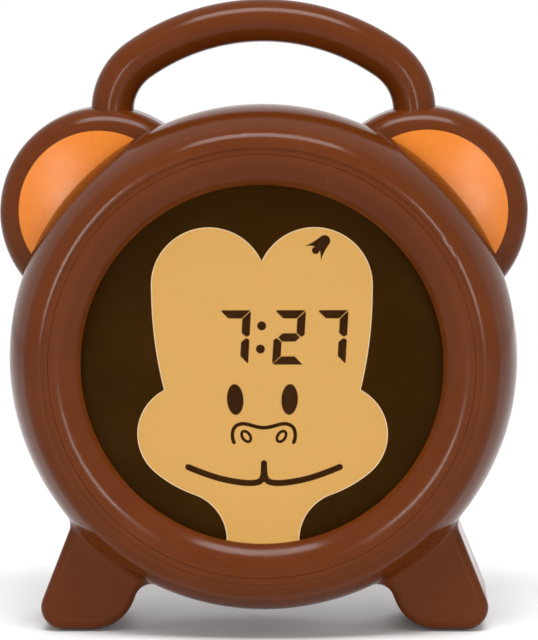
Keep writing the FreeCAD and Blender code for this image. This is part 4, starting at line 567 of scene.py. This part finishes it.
def face_edge_line():
    """A thin glowing tube round the face's edge: a painted highlight where the mask film's cut edge would
    catch the backlight.
    """
    points = face_loop()
    loop = bmesh.new()
    rings = []
    count = len(points)
    for index, point in enumerate(points):
        before, after = points[index - 1], points[(index + 1) % count]
        along = (after - before).normalized()
        inward = Vector((-along.y, along.x))
        ring = []
        for step in range(8):
            angle = step * math.pi / 4
            reach = 0.12 + EDGE_LINE_RADIUS * math.cos(angle)
            place = point + inward * reach
            depth = EDGE_LINE_DEPTH + EDGE_LINE_RADIUS * math.sin(angle)
            ring.append(loop.verts.new((place.x * MM, depth * MM, HEAD_HEIGHT + place.y * MM)))
        rings.append(ring)
    for index in range(count):
        ring, following = rings[index], rings[(index + 1) % count]
        for step in range(8):
            loop.faces.new((ring[step], following[step], following[(step + 1) % 8], ring[(step + 1) % 8]))
    bmesh.ops.recalc_face_normals(loop, faces=loop.faces)
    mesh = bpy.data.meshes.new("face_edge_line")
    loop.to_mesh(mesh)
    loop.free()
    new_piece("face_edge_line", mesh, EDGE_HIGHLIGHT_GLOW)


def prism(shape, outline, front, back):
    """A thin plate with the given outline in the back view, from one depth to another."""
    near = [shape.verts.new((x * MM, front * MM, z * MM)) for x, z in outline]
    far = [shape.verts.new((x * MM, back * MM, z * MM)) for x, z in outline]
    shape.faces.new(near)
    shape.faces.new(list(reversed(far)))
    for index in range(len(outline)):
        following = (index + 1) % len(outline)
        shape.faces.new((near[following], near[index], far[index], far[following]))


def curve_points(centre, radius, first, last, steps=18):
    return [(centre[0] + radius * math.cos(math.radians(first + (last - first) * step / steps)),
             centre[1] + radius * math.sin(math.radians(first + (last - first) * step / steps)))
            for step in range(steps + 1)]


def sound_arc(radius):
    return curve_points((0.2, 0), radius, -48, 48, 12) + curve_points((0.2, 0), radius - 0.34, 48, -48, 12)


def sign_outlines():
    """The moulded sign on each button's cap: generic signs with no words."""
    bell = [(-1.9, -1.0), (1.9, -1.0), (1.3, -0.5)] + curve_points((0, 0.35), 1.05, -10, 190) + [(-1.3, -0.5)]
    moon = curve_points((-0.2, 0), 1.75, 50, 310, 24) + curve_points((0.55, 0), 1.42, 289, 71, 20)
    speaker = [(-1.9, -0.6), (-1.1, -0.6), (-0.1, -1.5), (-0.1, 1.5), (-1.1, 0.6), (-1.9, 0.6)]
    return {
        "hour_button": [[(-1.7, -1.0), (1.7, -1.0), (0, 1.6)]],
        "minute_button": [[(1.7, 1.0), (-1.7, 1.0), (0, -1.6)]],
        "alarm_set_button": [bell, curve_points((0, -1.45), 0.42, 0, 345, 14)],
        "volume_button": [speaker, sound_arc(1.1), sound_arc(1.8)],
        "snooze_button": [moon],
        "night_light_button": [curve_points((0, 0), 0.95, 0, 345, 20)],
    }


def button_signs():
    """Signs raised a little from the caps, each riding on its own button."""
    for button, outlines in sign_outlines().items():
        low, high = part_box(button)
        centre = ((low[0] + high[0]) / 2 / MM, (low[2] + high[2]) / 2 / MM)
        top = high[1] / MM
        shape = bmesh.new()
        for outline in outlines:
            placed = [(centre[0] - x, centre[1] + z) for x, z in reversed(outline)]
            prism(shape, placed, top - SIGN_SINK, top + SIGN_RISE)
        if button == "night_light_button":
            for step in range(8):
                angle = math.radians(45 * step)
                out = Vector((math.cos(angle), math.sin(angle)))
                side = Vector((-math.sin(angle), math.cos(angle)))
                ray = [out * 1.35 - side * 0.17, out * 1.95 - side * 0.17, out * 1.95 + side * 0.17,
                       out * 1.35 + side * 0.17]
                placed = [(centre[0] + corner.x, centre[1] + corner.y) for corner in ray]
                prism(shape, placed, top - SIGN_SINK, top + SIGN_RISE)
        bmesh.ops.recalc_face_normals(shape, faces=shape.faces)
        mesh = bpy.data.meshes.new(button + "_sign")
        shape.to_mesh(mesh)
        shape.free()
        new_piece(button + "_sign", mesh, SIGN_PLASTIC, body=button)


def turned_shape(profile, segments=32):
    """A closed round shape about its own Y axis, from (depth, radius) corners that start and end on it."""
    shape = bmesh.new()
    rings = []
    for depth, radius in profile:
        if radius < 1e-6:
            rings.append([shape.verts.new((0, depth * MM, 0))])
            continue
        rings.append([shape.verts.new((radius * MM * math.cos(2 * math.pi * step / segments), depth * MM,
                                       radius * MM * math.sin(2 * math.pi * step / segments)))
                      for step in range(segments)])
    for first, second in zip(rings, rings[1:]):
        for step in range(segments):
            following = (step + 1) % segments
            corners = [first[step % len(first)], first[following % len(first)],
                       second[following % len(second)], second[step % len(second)]]
            face = []
            for corner in corners:
                if corner not in face:
                    face.append(corner)
            shape.faces.new(face)
    bmesh.ops.recalc_face_normals(shape, faces=shape.faces)
    return shape


def screw_shape(name, length, shank, head, height):
    """A pan-head screw with a cross recess and a thread, its head's seat at the origin, tip towards -Y."""
    thread = [(0.0, shank)]
    turns = int(length / 0.8)
    for index in range(turns):
        start = -length + 1.2 + (length - 1.4) * index / turns
        thread += [(start, shank * 0.80), (start + 0.25, shank * 0.98), (start + 0.4, shank * 0.80)]
    thread = [(-length, 0.0), (-length + 0.2, shank * 0.45), (-length + 1.0, shank * 0.78)] + sorted(thread)
    pan = [(0.0, head), (height * 0.45, head), (height * 0.8, head * 0.88), (height, head * 0.6),
           (height, 0.0)]
    shape = turned_shape(thread + pan)
    mesh = bpy.data.meshes.new(name)
    shape.to_mesh(mesh)
    shape.free()
    body = bpy.data.objects.new(name, mesh)
    bpy.context.scene.collection.objects.link(body)
    cross = bmesh.new()
    for wide, tall in ((head * 0.62, head * 0.13), (head * 0.13, head * 0.62)):
        matrix = Matrix.Translation((0, height * MM, 0)) @ Matrix.Diagonal(
            (wide * 2 * MM, height * 1.1 * MM, tall * 2 * MM, 1))
        bmesh.ops.create_cube(cross, size=1, matrix=matrix)
    cutter_mesh = bpy.data.meshes.new(name + "_cross")
    cross.to_mesh(cutter_mesh)
    cross.free()
    cutter = bpy.data.objects.new(name + "_cross", cutter_mesh)
    bpy.context.scene.collection.objects.link(cutter)
    recess = body.modifiers.new("cross_recess", "BOOLEAN")
    recess.object = cutter
    recess.operation = "DIFFERENCE"
    recess.use_self = True
    graph = bpy.context.evaluated_depsgraph_get()
    done = bpy.data.meshes.new_from_object(body.evaluated_get(graph))
    for spare in (body, cutter):
        bpy.data.objects.remove(spare)
    template = bpy.data.objects.new(name, done)
    bpy.context.scene.collection.objects.link(template)
    return template


def placing_tree():
    """One tree that puts a copy of a small part on every point of a piece."""
    tree = bpy.data.node_groups.new("place_small_parts", "GeometryNodeTree")
    tree.interface.new_socket("Geometry", in_out="INPUT", socket_type="NodeSocketGeometry")
    tree.interface.new_socket("Small Part", in_out="INPUT", socket_type="NodeSocketObject")
    tree.interface.new_socket("Part Size", in_out="INPUT", socket_type="NodeSocketFloat")
    tree.interface.new_socket("Turn Step", in_out="INPUT", socket_type="NodeSocketFloat")
    tree.interface.new_socket("Finish", in_out="INPUT", socket_type="NodeSocketMaterial")
    tree.interface.new_socket("Geometry", in_out="OUTPUT", socket_type="NodeSocketGeometry")
    nodes, links = tree.nodes, tree.links
    given = nodes.new("NodeGroupInput")
    result = nodes.new("NodeGroupOutput")
    info = nodes.new("GeometryNodeObjectInfo")
    place = nodes.new("GeometryNodeInstanceOnPoints")
    index = nodes.new("GeometryNodeInputIndex")
    angle = nodes.new("ShaderNodeMath")
    angle.operation = "MULTIPLY"
    turn = nodes.new("ShaderNodeCombineXYZ")
    realize = nodes.new("GeometryNodeRealizeInstances")
    finish = nodes.new("GeometryNodeSetMaterial")
    links.new(given.outputs["Geometry"], place.inputs["Points"])
    links.new(given.outputs["Small Part"], info.inputs["Object"])
    links.new(info.outputs["Geometry"], place.inputs["Instance"])
    links.new(given.outputs["Part Size"], place.inputs["Scale"])
    links.new(index.outputs[0], angle.inputs[0])
    links.new(given.outputs["Turn Step"], angle.inputs[1])
    links.new(angle.outputs[0], turn.inputs["Y"])
    links.new(turn.outputs[0], place.inputs["Rotation"])
    links.new(place.outputs["Instances"], realize.inputs["Geometry"])
    links.new(realize.outputs["Geometry"], finish.inputs["Geometry"])
    links.new(given.outputs["Finish"], finish.inputs["Material"])
    links.new(finish.outputs["Geometry"], result.inputs["Geometry"])
    return tree


def repeated(name, places, template, tree, material, instead=(), turn=0.7):
    """A row of small parts at the given places, made by the placing tree and kept as one plain mesh."""
    points = bpy.data.meshes.new(name + "_points")
    points.from_pydata(places, [], [])
    holder = bpy.data.objects.new(name + "_points", points)
    bpy.context.scene.collection.objects.link(holder)
    modifier = holder.modifiers.new("place_small_parts", "NODES")
    modifier.node_group = tree
    wanted = {"Small Part": template, "Part Size": 1.0, "Turn Step": turn, "Finish": material}
    for item in tree.interface.items_tree:
        if item.in_out == "INPUT" and item.name in wanted:
            modifier[item.identifier] = wanted[item.name]
    graph = bpy.context.evaluated_depsgraph_get()
    mesh = bpy.data.meshes.new_from_object(holder.evaluated_get(graph))
    holder.modifiers.remove(modifier)
    bpy.data.objects.remove(holder)
    new_piece(name, mesh, material, instead=instead)


def visible_screws():
    """The four long screws in the back's wells and the two that hold the handle, seen from behind."""
    tree = placing_tree()
    section = (SCREW_SHANK_RADIUS, SCREW_HEAD_RADIUS, SCREW_HEAD_HEIGHT)
    long_screw = screw_shape("long_housing_screw", LONG_SCREW_LENGTH, *section)
    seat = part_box("housing_screws")[1][1] - SCREW_HEAD_HEIGHT * MM
    circle = SCREW_CIRCLE * MM
    turns = [math.radians(angle) for angle in (0, 90, 180, 270)]
    places = [(circle * math.cos(turn), seat, HEAD_HEIGHT + circle * math.sin(turn)) for turn in turns]
    repeated("housing_screw_set", places, long_screw, tree, STEEL, ("housing_screws",))
    low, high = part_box("handle_screws")
    short_length = (high[1] - low[1]) / MM - SCREW_HEAD_HEIGHT
    short_screw = screw_shape("handle_fixing_screw", short_length, *section)
    middle = (low[2] + high[2]) / 2
    places = [(side * HANDLE_HALF_SPAN * MM, high[1] - SCREW_HEAD_HEIGHT * MM, middle) for side in (-1, 1)]
    repeated("handle_screw_set", places, short_screw, tree, STEEL, ("handle_screws",), 0.9)
    for template in (long_screw, short_screw):
        bpy.data.objects.remove(template)


# A glowing finish and tube that paint the highlight on the face's cut edge.
EDGE_HIGHLIGHT_GLOW = painted_edge_highlight_finish()
SIGN_PLASTIC = satin("dark_button_sign", (0.075, 0.030, 0.014), (0.050, 0.020, 0.010), 0.4)
face_edge_line()
button_signs()
visible_screws()
floor()
surround()
camera()
softbox("top_softbox", (0.0, -0.45, 1.1), (0, 0, 0.08), 0.8, 0.4, 15)
softbox("left_softbox", (-1.0, -0.5, 0.3), (0, 0, 0.08), 0.5, 0.9, 3, mirrored=False)
softbox("right_softbox", (1.0, -0.5, 0.3), (0, 0, 0.08), 0.5, 0.9, 3, mirrored=False)
softbox("back_softbox", (0.3, 1.1, 0.5), (0, 0, 0.08), 0.9, 0.6, 9, mirrored=False)
softbox("left_strip", (-0.44, -1.3, 0.12), (0, 0, 0.12), 0.07, 0.6, 5.0)
softbox("right_strip", (0.44, -1.3, 0.12), (0, 0, 0.12), 0.07, 0.6, 5.0)

bpy.context.scene.view_settings.view_transform = "Standard"
